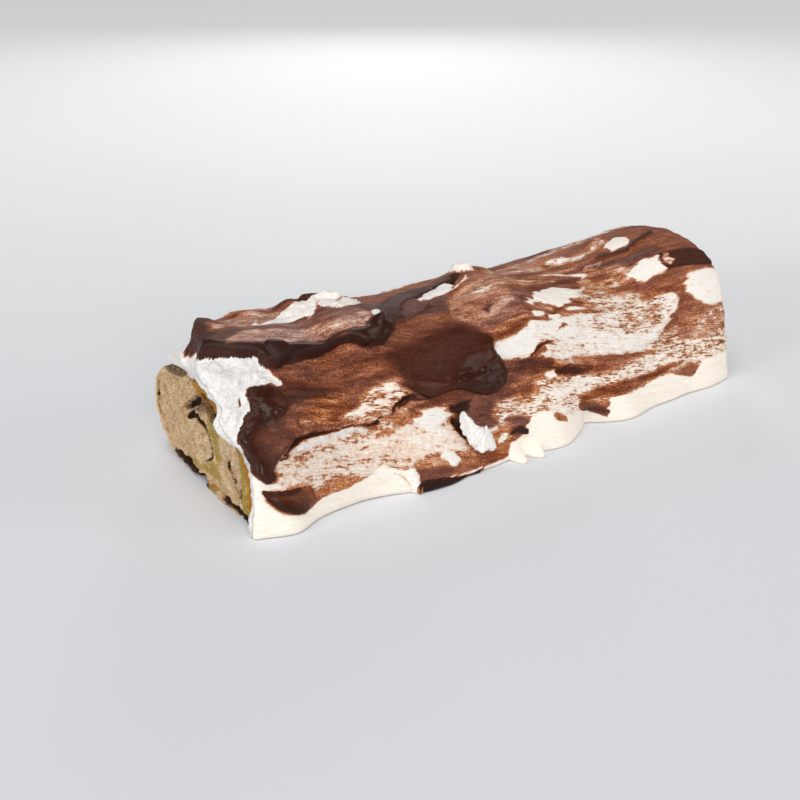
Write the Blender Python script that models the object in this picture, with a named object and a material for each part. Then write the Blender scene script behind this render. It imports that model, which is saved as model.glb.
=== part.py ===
"""Yule log cake: a sponge sheet rolled round a light filling, coated with cream and glazed.

Units are metres and +Z is up. The log lies along X on its flat underside at Z = 0, with the
cut end that shows the spiral at -X and the front of the log at -Y. The origin is under the
middle of the cake.
"""

import math

import bmesh
import bpy
import numpy as np

# The whole cake
LENGTH = 0.320
BODY_WIDTH = 0.120
CROWN_HEIGHT = 0.0725
OUTLINE_POWER = 0.8
GAP = 0.0003

# Rolled sheet: an inner turn and an outer turn, each half width, half height, middle y, middle z
SHEET_THICKNESS = 0.0070
INNER_TURN = (0.0230, 0.0175, -0.0010, 0.0220)
OUTER_TURN = (0.0490, 0.0248, -0.0015, 0.0290)
UNDERSIDE_SAG = 1.2
TURN_POWER = 0.8
SHEET_START = math.radians(70)
SHEET_END = math.radians(593)
TURN_GROWTH = (math.radians(235), math.radians(350))
HANGS_STRAIGHT_AFTER = math.radians(540)
SHEET_STEPS = 46
SHEET_ANGLES = np.linspace(SHEET_START, SHEET_END, SHEET_STEPS)
ROLL_INSET = 0.0035

# Where the sheet leaves the flat underside: under the inner turn, and at the back of the outer
STRIP_FOOT = math.radians(262)
COAT_BACK_FOOT = math.radians(322)

# Cream coat: its inside has the sheet's own steps, and a foot on each side
COAT_COLUMNS = 32
COAT_ANGLES = SHEET_ANGLES[SHEET_ANGLES > COAT_BACK_FOOT][::-1]
COAT_ROWS = len(COAT_ANGLES) + 1
FOOT_ROWS = 4
GLAZE_ROWS = COAT_ROWS - 2 * FOOT_ROWS
COAT_END_INSET = 0.0012
FOOT_SPREAD = 0.0035
FOOT_SHARPNESS = 4
CROWN_BUMPS = (
    (-0.138, 0.0060, 0.030),
    (-0.087, 0.0062, 0.024),
    (-0.105, -0.0024, 0.010),
    (-0.052, -0.0015, 0.012),
    (0.014, 0.0050, 0.016),
    (0.084, -0.0034, 0.030),
    (0.150, 0.0066, 0.030),
)
FRONT_LOBES = (
    (-0.144, 0.0071, 0.013),
    (-0.076, 0.0054, 0.018),
    (-0.058, 0.0060, 0.018),
    (-0.030, 0.0077, 0.022),
    (-0.004, 0.0040, 0.018),
    (0.018, 0.0125, 0.019),
    (0.068, 0.0083, 0.017),
    (0.086, 0.0039, 0.024),
    (0.110, 0.0040, 0.018),
    (0.144, 0.0069, 0.020),
)
BACK_LOBES = (
    (-0.126, 0.0030, 0.014),
    (-0.082, 0.0115, 0.022),
    (-0.030, 0.0045, 0.016),
    (0.022, 0.0105, 0.020),
    (0.070, 0.0040, 0.014),
    (0.118, 0.0095, 0.024),
)
WAVES = ((41.0, 1.7, 0.4, 0.0011), (67.0, 3.1, 2.1, 0.0009), (23.0, 4.3, 4.0, 0.0008))

# Chocolate glaze: its edges are measured along the outline from the foot of each side
GLAZE_THICKNESS = 0.0016
GLAZE_RIM = 0.0010
FRONT_EDGE = 0.019
BACK_EDGE = 0.024
FRONT_RUNS = (
    (-0.132, 0.011, 0.016),
    (-0.086, 0.009, 0.018),
    (-0.050, 0.010, 0.014),
    (-0.004, 0.010, 0.012),
    (0.055, 0.008, 0.018),
    (0.118, 0.010, 0.020),
)
BACK_RUNS = (
    (-0.118, 0.013, 0.020),
    (-0.060, 0.008, 0.016),
    (-0.010, 0.014, 0.018),
    (0.048, 0.007, 0.014),
    (0.100, 0.013, 0.022),
)
NEAR_END_BARE = ((0.083, 0.020, 0.022), (0.010, 0.010, 0.014))
THICK_PLACES = (
    (-0.108, 0.100, 0.042, 0.020, 0.0028),
    (-0.148, 0.050, 0.010, 0.020, 0.0022),
    (-0.032, 0.054, 0.026, 0.016, 0.0018),
)

# Loose curl of cream that lies on the front of the log, as x and distance up the outline
CURL_ROUTE = ((-0.0430, 0.0290), (-0.0405, 0.0200), (-0.0350, 0.0105), (-0.0270, 0.0065), (-0.0215, 0.0075))
CURL_HALF_WIDTHS = (0.0020, 0.0042, 0.0056, 0.0050, 0.0024)
CURL_STEPS = 13
CURL_SIDES = 8
CURL_HEIGHT = 0.0042
CURL_LIFT = 0.0030


def clear_scene():
    """Remove every object that the file starts with."""
    for thing in list(bpy.data.objects):
        bpy.data.objects.remove(thing, do_unlink=True)


def finish(name, colour, roughness, subsurface=0.0):
    """Return a material of one colour for one sub-part."""
    material = bpy.data.materials.new(name)
    material.use_nodes = True
    shader = material.node_tree.nodes["Principled BSDF"]
    shader.inputs["Base Color"].default_value = (*colour, 1.0)
    shader.inputs["Roughness"].default_value = roughness
    shader.inputs["Metallic"].default_value = 0.0
    shader.inputs["Subsurface Weight"].default_value = subsurface
    return material


def add_object(name, bm, material):
    """Turn a bmesh into a named, smooth-shaded object with its faces pointing outwards."""
    bmesh.ops.recalc_face_normals(bm, faces=bm.faces)
    mesh = bpy.data.meshes.new(name)
    bm.to_mesh(mesh)
    bm.free()
    mesh.materials.append(material)
    mesh.shade_smooth()
    mesh.set_sharp_from_angle(angle=math.radians(40))
    thing = bpy.data.objects.new(name, mesh)
    bpy.context.collection.objects.link(thing)
    return thing


def smooth_step(low, high, value):
    """Ease from 0 at low to 1 at high."""
    share = np.clip((value - low) / (high - low), 0.0, 1.0)
    return share * share * (3.0 - 2.0 * share)


def signed_power(value, power):
    """Raise the size of a value to a power and keep its sign."""
    return np.sign(value) * np.abs(value) ** power


def lobes(at, table):
    """Add up bell-shaped lobes, each given by its middle, its height and its half width."""
    return sum(height * np.exp(-(((at - middle) / half) ** 2)) for middle, height, half in table)


def sheet_middle(angle):
    """Return y and z of the sheet's middle line, whose turn grows from the inner to the outer."""
    grown = smooth_step(*TURN_GROWTH, angle)
    inner = np.array(INNER_TURN)[:, None]
    outer = np.array(OUTER_TURN)[:, None]
    half_width, half_height, middle_y, middle_z = inner + (outer - inner) * grown
    across = np.cos(np.minimum(angle, HANGS_STRAIGHT_AFTER))
    up = signed_power(np.sin(angle), TURN_POWER)
    y = middle_y + half_width * signed_power(across, TURN_POWER)
    z = middle_z + half_height * np.where(up < 0, up * UNDERSIDE_SAG, up)
    return y, np.maximum(z, SHEET_THICKNESS / 2)


def sheet_side(angle, offset):
    """Return points beside the sheet's middle line, offset outwards and kept above the underside."""
    y, z = sheet_middle(angle)
    step = math.radians(0.5)
    y_before, z_before = sheet_middle(angle - step)
    y_after, z_after = sheet_middle(angle + step)
    run = np.hypot(y_after - y_before, z_after - z_before)
    out_y = (z_after - z_before) / run
    out_z = -(y_after - y_before) / run
    side = np.stack([y + out_y * offset, z + out_z * offset], axis=1)
    side[:, 1] = np.maximum(side[:, 1], 0.0)
    return side


def at_x(side, x):
    """Place a y, z line at one x."""
    return np.column_stack([np.full(len(side), x), side])


def shell(lower, upper):
    """Close the space between two grids of points, upper over lower, into one solid."""
    columns, rows = lower.shape[:2]
    bm = bmesh.new()
    low = [[bm.verts.new(lower[i, j]) for j in range(rows)] for i in range(columns)]
    high = [[bm.verts.new(upper[i, j]) for j in range(rows)] for i in range(columns)]
    for i in range(columns - 1):
        for j in range(rows - 1):
            bm.faces.new((low[i][j], low[i][j + 1], low[i + 1][j + 1], low[i + 1][j]))
            bm.faces.new((high[i][j], high[i + 1][j], high[i + 1][j + 1], high[i][j + 1]))
    for i in range(columns - 1):
        for j in (0, rows - 1):
            bm.faces.new((low[i][j], low[i + 1][j], high[i + 1][j], high[i][j]))
    for j in range(rows - 1):
        for i in (0, columns - 1):
            bm.faces.new((low[i][j], high[i][j], high[i][j + 1], low[i][j + 1]))
    return bm


def make_sheet():
    """Make the rolled sponge sheet, the same section from end to end."""
    ends = (-LENGTH / 2 + ROLL_INSET, LENGTH / 2 - ROLL_INSET)
    inside = sheet_side(SHEET_ANGLES, -SHEET_THICKNESS / 2)
    outside = sheet_side(SHEET_ANGLES, SHEET_THICKNESS / 2)
    lower = np.stack([at_x(inside, x) for x in ends])
    upper = np.stack([at_x(outside, x) for x in ends])
    sponge = finish("sponge", (0.42, 0.26, 0.07), 0.85)
    return add_object("sponge_sheet", shell(lower, upper), sponge)


def filling_outline():
    """Return the filling's outline: inside the whole sheet, then back round its inner turn."""
    clear = SHEET_THICKNESS / 2 + GAP
    inside = sheet_side(SHEET_ANGLES, -clear)
    inner_turn = SHEET_ANGLES[SHEET_ANGLES < STRIP_FOOT]
    outside = sheet_side(inner_turn[::-1], clear)
    along = inside[0] - inside[1]
    tip_shift = along / np.linalg.norm(along) * GAP
    strip_end = np.array([[inside[-1, 0], 0.0]])
    strip_start = np.array([[outside[0, 0], 0.0]])
    return np.concatenate([
        [inside[0] + tip_shift],
        inside[1:],
        strip_end,
        strip_start,
        outside[:-1],
        [outside[-1] + tip_shift],
    ])


def make_filling():
    """Make the filling that the sheet is rolled round, by extruding its outline along X."""
    bm = bmesh.new()
    start = -LENGTH / 2 + ROLL_INSET
    outline = filling_outline()
    keep = np.ones(len(outline), dtype=bool)
    keep[1:] = np.linalg.norm(np.diff(outline, axis=0), axis=1) > GAP / 3
    face = bm.faces.new([bm.verts.new((start, y, z)) for y, z in outline[keep]])
    swept = bmesh.ops.extrude_face_region(bm, geom=[face])
    moved = [item for item in swept["geom"] if isinstance(item, bmesh.types.BMVert)]
    bmesh.ops.translate(bm, verts=moved, vec=(LENGTH - 2 * ROLL_INSET, 0.0, 0.0))
    return add_object("filling", bm, finish("filling", (0.54, 0.36, 0.22), 0.8))


def outline_point(angle, half_width, height):
    """Return y and z on the log's arch, from the front foot at angle 0 to the back foot at pi."""
    y = -half_width * signed_power(np.cos(angle), OUTLINE_POWER)
    z = height * np.abs(np.sin(angle)) ** OUTLINE_POWER
    return y, z


def arc_table():
    """Return matching angles and distances along the plain arch, measured from the front foot."""
    angle = np.linspace(0.0, math.pi, 721)
    y, z = outline_point(angle, BODY_WIDTH / 2, CROWN_HEIGHT)
    steps = np.hypot(np.diff(y), np.diff(z))
    return angle, np.concatenate([[0.0], np.cumsum(steps)])


ARC_ANGLES, ARC_DISTANCES = arc_table()
ARC_LENGTH = ARC_DISTANCES[-1]


def coat_point(x, distance):
    """Return the outside of the cream at x and at a distance up and over the arch."""
    angle = np.interp(distance, ARC_DISTANCES, ARC_ANGLES)
    rise = np.sin(angle)
    height = CROWN_HEIGHT + lobes(x, CROWN_BUMPS)
    y, z = outline_point(angle, BODY_WIDTH / 2, height)
    front = lobes(x, FRONT_LOBES)
    back = lobes(x, BACK_LOBES)
    spread = FOOT_SPREAD + np.where(y < 0, front, back)
    y = y + np.sign(y) * spread * (1.0 - rise) ** FOOT_SHARPNESS
    wave = sum(
        size * np.sin(along * x + around * angle + start) for along, around, start, size in WAVES
    )
    swell = 1.0 + wave * rise / (BODY_WIDTH / 2)
    return np.stack([x, y * swell, z * swell], axis=-1)


def coat_grid():
    """Return the points outside the cream, with rows and columns that follow the glaze's edge."""
    plain_x = np.linspace(-LENGTH / 2, LENGTH / 2, COAT_COLUMNS + 1)
    plain_s = np.linspace(0.0, ARC_LENGTH, COAT_ROWS + 1)
    bare = COAT_END_INSET * 3 + lobes(plain_s, NEAR_END_BARE)
    first = plain_x[0] + bare[None, :]
    share = np.linspace(0.0, 1.0, COAT_COLUMNS)[:, None]
    last = LENGTH / 2
    x = np.concatenate([np.full((1, COAT_ROWS + 1), plain_x[0]), first + (last - first) * share])
    x[-2] = np.minimum(x[-2], last - COAT_END_INSET * 3)
    front = FRONT_EDGE - lobes(x, FRONT_RUNS)
    back = ARC_LENGTH - BACK_EDGE + lobes(x, BACK_RUNS)
    row = np.arange(COAT_ROWS + 1)[None, :]
    over = (row - FOOT_ROWS) / GLAZE_ROWS
    below_front = front * row / FOOT_ROWS
    on_top = front + (back - front) * over
    below_back = back + (ARC_LENGTH - back) * (row - FOOT_ROWS - GLAZE_ROWS) / FOOT_ROWS
    distance = np.where(over < 0, below_front, np.where(over > 1, below_back, on_top))
    return x, distance, coat_point(x, distance)


def grid_normals(points):
    """Return the outward direction at each point of a grid laid out along x and over the arch."""
    along = np.gradient(points, axis=0)
    around = np.gradient(points, axis=1)
    normal = np.cross(along, around)
    return normal / np.linalg.norm(normal, axis=-1, keepdims=True)


def make_coat():
    """Make the cream coat: an arch over the roll that stands on its two feet."""
    x, _, outside = coat_grid()
    roll = sheet_side(COAT_ANGLES, SHEET_THICKNESS / 2 + GAP)
    front_foot = [[roll[0, 0], 0.0]]
    back_foot = [[roll[-1, 0], 0.0]]
    section = np.concatenate([front_foot, roll, back_foot])
    plain_x = np.linspace(-LENGTH / 2 + COAT_END_INSET, LENGTH / 2 - COAT_END_INSET, len(x))
    inside = np.stack([at_x(section, station) for station in plain_x])
    cream = finish("cream", (0.86, 0.80, 0.74), 0.55, 0.1)
    return add_object("cream_coat", shell(inside, outside), cream)


def make_glaze():
    """Make the chocolate glaze: a skin over the coat, thick in places and thin at its rim."""
    x, distance, outside = coat_grid()
    normals = grid_normals(outside)
    columns = slice(1, -1)
    rows = slice(FOOT_ROWS, FOOT_ROWS + GLAZE_ROWS + 1)
    lower = (outside + normals * GAP)[columns, rows]
    depth = np.full(x.shape, GLAZE_THICKNESS)
    for place_x, place_s, half_x, half_s, extra in THICK_PLACES:
        far = ((x - place_x) / half_x) ** 4 + ((distance - place_s) / half_s) ** 4
        depth = depth + extra * np.exp(-far)
    depth = depth[columns, rows]
    depth[[0, -1], :] = GLAZE_RIM
    depth[:, [0, -1]] = GLAZE_RIM
    upper = lower + normals[columns, rows] * depth[..., None]
    chocolate = finish("chocolate", (0.075, 0.032, 0.020), 0.3)
    return add_object("chocolate_glaze", shell(lower, upper), chocolate)


def curl_frame():
    """Return the curl's route over the coat, with its sideways and outward directions."""
    stops = np.linspace(0.0, 1.0, len(CURL_ROUTE))
    share = np.linspace(0.0, 1.0, CURL_STEPS)
    route = np.array(CURL_ROUTE)
    x = np.interp(share, stops, route[:, 0])
    distance = np.interp(share, stops, route[:, 1])
    half = np.interp(share, stops, CURL_HALF_WIDTHS)
    step = 0.0005
    middle = coat_point(x, distance)
    along_x = coat_point(x + step, distance) - middle
    along_s = coat_point(x, distance + step) - middle
    out = np.cross(along_x, along_s)
    out = out / np.linalg.norm(out, axis=1, keepdims=True)
    forward = np.gradient(middle, axis=0)
    side = np.cross(out, forward)
    side = side / np.linalg.norm(side, axis=1, keepdims=True)
    return middle, side, out, half


def make_curl():
    """Make the loose curl of cream: a rounded ribbon that follows the coat's front."""
    middle, side, out, half = curl_frame()
    turn = np.linspace(0.0, 2 * math.pi, CURL_SIDES, endpoint=False)
    across = np.cos(turn)
    up = 0.5 + 0.5 * np.sin(turn)
    bm = bmesh.new()
    rings = []
    for i in range(CURL_STEPS):
        height = CURL_LIFT + CURL_HEIGHT * up
        points = middle[i] + np.outer(across * half[i], side[i]) + np.outer(height, out[i])
        rings.append([bm.verts.new(point) for point in points])
    for first, second in zip(rings, rings[1:]):
        for k in range(CURL_SIDES):
            after = (k + 1) % CURL_SIDES
            bm.faces.new((first[k], first[after], second[after], second[k]))
    bm.faces.new(rings[0])
    bm.faces.new(rings[-1])
    return add_object("cream_curl", bm, finish("curl_cream", (0.84, 0.81, 0.74), 0.5, 0.1))


def main():
    """Build the cake from the inside out."""
    clear_scene()
    make_sheet()
    make_filling()
    make_coat()
    make_glaze()
    make_curl()


main()
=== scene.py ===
"""Looks of a yule log cake: smeared cream, brushed chocolate and the rolled sponge at its cut ends.

Lengths are metres and +Z is up. The log lies along X with its front at -Y. A place on the coat
is given as a pair: x, the distance from the cut end, and s, the distance up the front from its
foot. Tables are in millimetres.
"""

import logging
import math
from dataclasses import dataclass, field
from enum import Enum
from typing import Optional, Sequence

import bpy
import numpy as np
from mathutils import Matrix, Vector


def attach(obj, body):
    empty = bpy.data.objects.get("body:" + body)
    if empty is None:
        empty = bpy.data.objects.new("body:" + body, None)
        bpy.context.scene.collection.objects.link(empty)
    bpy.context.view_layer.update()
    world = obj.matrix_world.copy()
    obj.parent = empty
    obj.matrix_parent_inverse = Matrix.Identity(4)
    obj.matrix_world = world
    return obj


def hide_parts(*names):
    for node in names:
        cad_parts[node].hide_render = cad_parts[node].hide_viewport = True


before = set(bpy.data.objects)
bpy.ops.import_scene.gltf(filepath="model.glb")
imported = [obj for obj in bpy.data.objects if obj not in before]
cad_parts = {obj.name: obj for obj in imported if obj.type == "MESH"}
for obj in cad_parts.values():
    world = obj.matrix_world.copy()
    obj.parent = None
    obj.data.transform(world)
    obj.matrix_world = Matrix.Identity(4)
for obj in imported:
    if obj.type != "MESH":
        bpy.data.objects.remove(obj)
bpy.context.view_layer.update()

Array = np.ndarray
Table = Sequence[Sequence[float]]
Place = tuple[float, float, float]
Thing = bpy.types.Object
Socket = bpy.types.NodeSocket

MM = 0.001
LOG = logging.getLogger("yule_log")


# Arithmetic


def smooth(low: float, high: float, value: Array) -> Array:
    """Ease a value from 0 at low to 1 at high with the cubic 3t^2 - 2t^3."""
    share = np.clip((value - low) / (high - low), 0.0, 1.0)
    return share * share * (3.0 - 2.0 * share)


def signed_power(value: Array, power: float) -> Array:
    """Raise the size of a value to a power and keep its sign."""
    return np.sign(value) * np.abs(value) ** power


def bells(at: Array, table: Table, power: int = 2) -> Array:
    """Add up bells, height * exp(-(|at - middle| / width)^power), with middle, height, width in the table."""
    middle, height, width = np.array(table).T * MM
    return (height * np.exp(-(np.abs((at[..., None] - middle) / width) ** power))).sum(axis=-1)


def unit(vectors: Array) -> Array:
    """Bring the vectors in the last axis to length 1."""
    return vectors / np.linalg.norm(vectors, axis=-1, keepdims=True)


def lattice(column: Array, row: Array, seed: int) -> Array:
    """Scramble whole-number places into fixed values from -1 to 1.

    Args:
        column, row: Whole-number places.
        seed: Which scramble to use.

    Returns:
        One value for each place.
    """
    mixed = (column * 374761393 + row * 668265263 + seed * 144269504) & 0xFFFFFFFF
    mixed = ((mixed ^ (mixed >> 13)) * 1274126177) & 0xFFFFFFFF
    return (mixed ^ (mixed >> 16)) / 0x7FFFFFFF - 1.0


def ripple(u: Array, v: Array, seed: int) -> Array:
    """Blend the lattice's values between whole-number places with 6t^5 - 15t^4 + 10t^3 (value noise).

    Args:
        u, v: Places along two directions.
        seed: Which pattern to use.

    Returns:
        Values from -1 to 1, with waves about one unit long.
    """
    column, row = np.floor(u).astype(np.int64), np.floor(v).astype(np.int64)
    ease_u, ease_v = (part**3 * (part * (part * 6.0 - 15.0) + 10.0) for part in (u - column, v - row))
    low = lattice(column, row, seed) * (1 - ease_u) + lattice(column + 1, row, seed) * ease_u
    high = lattice(column, row + 1, seed) * (1 - ease_u) + lattice(column + 1, row + 1, seed) * ease_u
    return low * (1 - ease_v) + high * ease_v


def cloud(u: Array, v: Array, seed: int, octaves: int = 4, gain: float = 0.5) -> Array:
    """Add ripples of halving length, each weaker than the one before by the gain (fractal noise).

    Args:
        u, v: Places along two directions.
        seed: Which pattern to use.
        octaves: How many ripples to add.
        gain: How much weaker each ripple is than the one before.

    Returns:
        Values that mostly lie from -1 to 1.
    """
    steps = range(octaves)
    total = sum(gain**k * ripple(u * 2**k + 17.3 * k, v * 2**k - 9.1 * k, seed + k) for k in steps)
    return total / math.sqrt(sum(gain ** (2 * k) for k in steps)) * 1.15


def rounded(points: Array, closed: bool = False, steps: int = 5) -> Array:
    """Pass a smooth curve through points (Catmull-Rom, uniform).

    Args:
        points: The points, one in each row.
        closed: Whether the curve returns to its first point.
        steps: How many short pieces each stretch gets.

    Returns:
        The points of the smooth curve, the first one again at the end of a closed curve.
    """
    count = len(points)
    if closed:
        padded = points[np.arange(-1, count + 2) % count]
    else:
        padded = np.concatenate([2 * points[:1] - points[1:2], points, 2 * points[-1:] - points[-2:-1]])
    share = np.arange(steps)[None, :, None] / steps
    before, start, end, after = (padded[k:len(padded) - 3 + k, None, :] for k in range(4))
    curve = 0.5 * (
        2 * start
        + (end - before) * share
        + (2 * before - 5 * start + 4 * end - after) * share**2
        + (3 * start - before - 3 * end + after) * share**3
    )
    return np.concatenate([curve.reshape(-1, points.shape[1]), points[:1] if closed else points[-1:]])


@dataclass(frozen=True)
class Nearest:
    """The nearest point of a chain to each place: its distance, its share of the way, and what lies there.

    side is 1 on the left-hand side going along the chain and -1 on the right, and half is the
    chain's last column there.
    """

    distance: Array
    along: Array
    side: Array
    half: Array


def nearest_on_chain(x: Array, s: Array, chain: Array) -> Nearest:
    """Find, for each place, the nearest point of a chain of straight pieces.

    Args:
        x, s: Places along the log and up the coat.
        chain: The chain's points, x and s in the first two columns.

    Returns:
        The nearest points.
    """
    start = chain[:-1, :2]
    run = chain[1:, :2] - start
    off_x, off_s = x[:, None] - start[:, 0], s[:, None] - start[:, 1]
    length = np.maximum((run**2).sum(axis=1), 1e-12)
    share = np.clip((off_x * run[:, 0] + off_s * run[:, 1]) / length, 0.0, 1.0)
    square = (off_x - share * run[:, 0]) ** 2 + (off_s - share * run[:, 1]) ** 2
    piece = square.argmin(axis=1)
    at = np.arange(len(x)), piece
    side = np.sign(run[piece, 0] * off_s[at] - run[piece, 1] * off_x[at])
    half = chain[piece, -1] + (chain[piece + 1, -1] - chain[piece, -1]) * share[at]
    return Nearest(np.sqrt(square[at]), (piece + share[at]) / len(run), side, half)


# Shapes on the coat


class Shape:
    """A shape on the coat, drawn in millimetres from the cut end and up the front."""

    def reach(self) -> tuple[Array, Array]:
        """Return the lowest and the highest x and s that the shape can touch, in metres."""
        raise NotImplementedError

    def inside(self, x: Array, s: Array) -> Array:
        """Return how far inside the shape each place lies, in metres, and below 0 outside it."""
        raise NotImplementedError

    def strength(self, x: Array, s: Array) -> Array:
        """Return how strong a dab of this shape is at each place: 1 everywhere, unless the shape fades."""
        return np.ones(x.shape)


@dataclass(frozen=True)
class Drawn(Shape):
    """A shape drawn with a smooth curve through a few points."""

    points: Table

    def chain(self, closed: bool = False) -> Array:
        """Return the smooth curve through the points, in metres."""
        return rounded(np.array(self.points) * MM, closed)

    def spare(self) -> float:
        """Return how far the shape can reach past its points, in millimetres."""
        return 0.0

    def reach(self) -> tuple[Array, Array]:
        """Return the box round the points, widened by the spare reach."""
        points = np.array(self.points)[:, :2]
        return (points.min(axis=0) - self.spare()) * MM, (points.max(axis=0) + self.spare()) * MM


@dataclass(frozen=True)
class Outline(Drawn):
    """A closed smooth outline."""

    def inside(self, x: Array, s: Array) -> Array:
        """Return the distance to the outline, above 0 where a ray crosses it an odd number of times.

        Args:
            x, s: Places along the log and up the coat.

        Returns:
            Signed distances.
        """
        chain = self.chain(closed=True)
        distance = nearest_on_chain(x, s, chain).distance
        first, second = chain[:-1], chain[1:]
        spans = (first[:, 1] > s[:, None]) != (second[:, 1] > s[:, None])
        rise = np.where(second[:, 1] == first[:, 1], 1e-12, second[:, 1] - first[:, 1])
        meets = first[:, 0] + (s[:, None] - first[:, 1]) * (second[:, 0] - first[:, 0]) / rise
        crossed = (spans & (x[:, None] < meets)).sum(axis=1)
        return np.where(crossed % 2 == 1, distance, -distance)


@dataclass(frozen=True)
class Stroke(Drawn):
    """A stroke, whose points each have the half width there as a third number."""

    def spare(self) -> float:
        """Return the greatest half width."""
        return max(point[2] for point in self.points)

    def inside(self, x: Array, s: Array) -> Array:
        """Return the half width at the nearest point less the distance to the stroke's middle line."""
        nearest = nearest_on_chain(x, s, self.chain())
        return nearest.half - nearest.distance


@dataclass(frozen=True)
class Spot(Shape):
    """An oval spot: its middle, its half sizes and its turn in degrees."""

    x: float
    s: float
    half_x: float
    half_s: float
    turn: float = 0.0

    def reach(self) -> tuple[Array, Array]:
        """Return the box round the spot."""
        middle, wide = np.array([self.x, self.s]), max(self.half_x, self.half_s)
        return (middle - wide) * MM, (middle + wide) * MM

    def inside(self, x: Array, s: Array) -> Array:
        """Return one less the distance in units of the half sizes, times the smaller half size."""
        off = (x / MM - self.x + 1j * (s / MM - self.s)) * np.exp(-1j * math.radians(self.turn))
        reach = np.hypot(off.real / self.half_x, off.imag / self.half_s)
        return (1.0 - reach) * min(self.half_x, self.half_s) * MM


@dataclass(frozen=True)
class Beside(Drawn):
    """Everything on one side of a line that runs along the log: below it, or above it."""

    above: bool = False

    def reach(self) -> tuple[Array, Array]:
        """Return the whole coat."""
        return np.full(2, -1.0), np.full(2, 1.0)

    def inside(self, x: Array, s: Array) -> Array:
        """Return the height of the line less the place's height, or the other way round."""
        line_x, line_s = self.chain().T
        return (np.interp(x, np.maximum.accumulate(line_x), line_s) - s) * (-1.0 if self.above else 1.0)


@dataclass(frozen=True)
class Step(Drawn):
    """The upper side of a line that ends in mid-surface: the edge of a layer that fades out above."""

    fade: float = 20.0

    def spare(self) -> float:
        """Return how far the layer fades out."""
        return 2.5 * self.fade

    def inside(self, x: Array, s: Array) -> Array:
        """Return the distance to the line, above 0 on its left-hand side going along it."""
        nearest = nearest_on_chain(x, s, self.chain())
        return nearest.side * nearest.distance

    def strength(self, x: Array, s: Array) -> Array:
        """Return 1 at the line, easing to 0 a fade's length away and past both of its ends.

        Args:
            x, s: Places along the log and up the coat.

        Returns:
            Shares from 0 to 1.
        """
        nearest = nearest_on_chain(x, s, self.chain())
        ends = smooth(0.0, 0.12, nearest.along) * smooth(0.0, 0.12, 1.0 - nearest.along)
        return ends * np.exp(-((nearest.distance / (self.fade * MM)) ** 2))


# What lies on the coat


class Profile(Enum):
    """How a dab's height grows from its outline inwards."""

    ROUND = "quarter circle"
    SOFT = "cubic ease"
    POINTED = "hollow cone"

    def rise(self, share: Array) -> Array:
        """Return the share of the full height at each share of the way in.

        Args:
            share: Shares from 0 at the outline to 1.

        Returns:
            sqrt(1 - (1 - t)^2) for the quarter circle, 3t^2 - 2t^3 for the ease, t^1.7 for the cone.
        """
        if self is Profile.ROUND:
            return np.sqrt(np.clip(1.0 - (1.0 - share) ** 2, 0.0, 1.0))
        return smooth(0.0, 1.0, share) if self is Profile.SOFT else share**1.7


@dataclass(frozen=True)
class Dab:
    """One thing spread on the coat. A look that is None is left as it is there.

    film is how brown it is: below 0 bare cream, 1 a thin film, 3 nearly black. grain is how much
    the film breaks up, in dashes or, as far as dots says, in specks. bloom_and_sheen turns it dull and
    purplish, partly a real bloom and partly a painted sheen of reflected light; gloss makes it wet,
    chill_and_shade turns the cream cold and greys it with painted shade, and tear roughens it. depth is
    chocolate on top and lift raises the cream, grown over the radius, and edge is how softly the
    outline ends, all four in millimetres. brushed is how far the outline follows the brush.
    """

    shape: Shape
    film: Optional[float] = None
    grain: Optional[float] = None
    edge: float = 1.0
    bloom_and_sheen: Optional[float] = None
    gloss: Optional[float] = None
    chill_and_shade: Optional[float] = None
    dots: Optional[float] = None
    tear: Optional[float] = None
    depth: Optional[float] = None
    lift: Optional[float] = None
    radius: float = 1.6
    brushed: float = 1.0
    fade: Optional[Table] = None
    profile: Profile = Profile.ROUND

    def strength(self, x: Array, s: Array) -> Array:
        """Return the shape's own strength, less what is lost where the dab fades out between two points.

        Args:
            x, s: Places along the log and up the coat.

        Returns:
            Shares, whole on the first point's side and 0 past the second point.
        """
        if self.fade is None:
            return self.shape.strength(x, s)
        start, end = np.array(self.fade) * MM
        way = end - start
        along = ((x - start[0]) * way[0] + (s - start[1]) * way[1]) / (way @ way)
        return self.shape.strength(x, s) * (1.0 - smooth(0.0, 1.0, along))


# The layout of this cake


class End(Enum):
    """One of the log's two ends, with the way it faces along X."""

    NEAR = -1.0
    FAR = 1.0


PLAIN = {"film": 1.15, "grain": 0.5, "bloom_and_sheen": 0.25, "gloss": 0.35, "chill_and_shade": 0.35, "dots": 0.15, "tear": 0.0}
WHITE = {"film": -2.0, "grain": 0.3, "bloom_and_sheen": 0.0, "gloss": 0.3, "dots": 0.3}
FLECKED = {"film": -0.1, "grain": 1.0, "bloom_and_sheen": 0.0, "gloss": 0.3, "dots": 0.55}
BROWN = {"film": 1.3, "grain": 0.6, "bloom_and_sheen": 0.05, "gloss": 0.4}
DULL = {"film": 1.9, "grain": 0.45, "bloom_and_sheen": 0.9, "gloss": 0.15}
DARK = {"film": 2.3, "grain": 0.35, "bloom_and_sheen": 0.25, "gloss": 0.55}
WET = {"film": 2.9, "grain": 0.12, "bloom_and_sheen": 0.0, "gloss": 1.0, "brushed": 0.15, "edge": 0.4}
STREAK_SLOPE = 0.17

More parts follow.
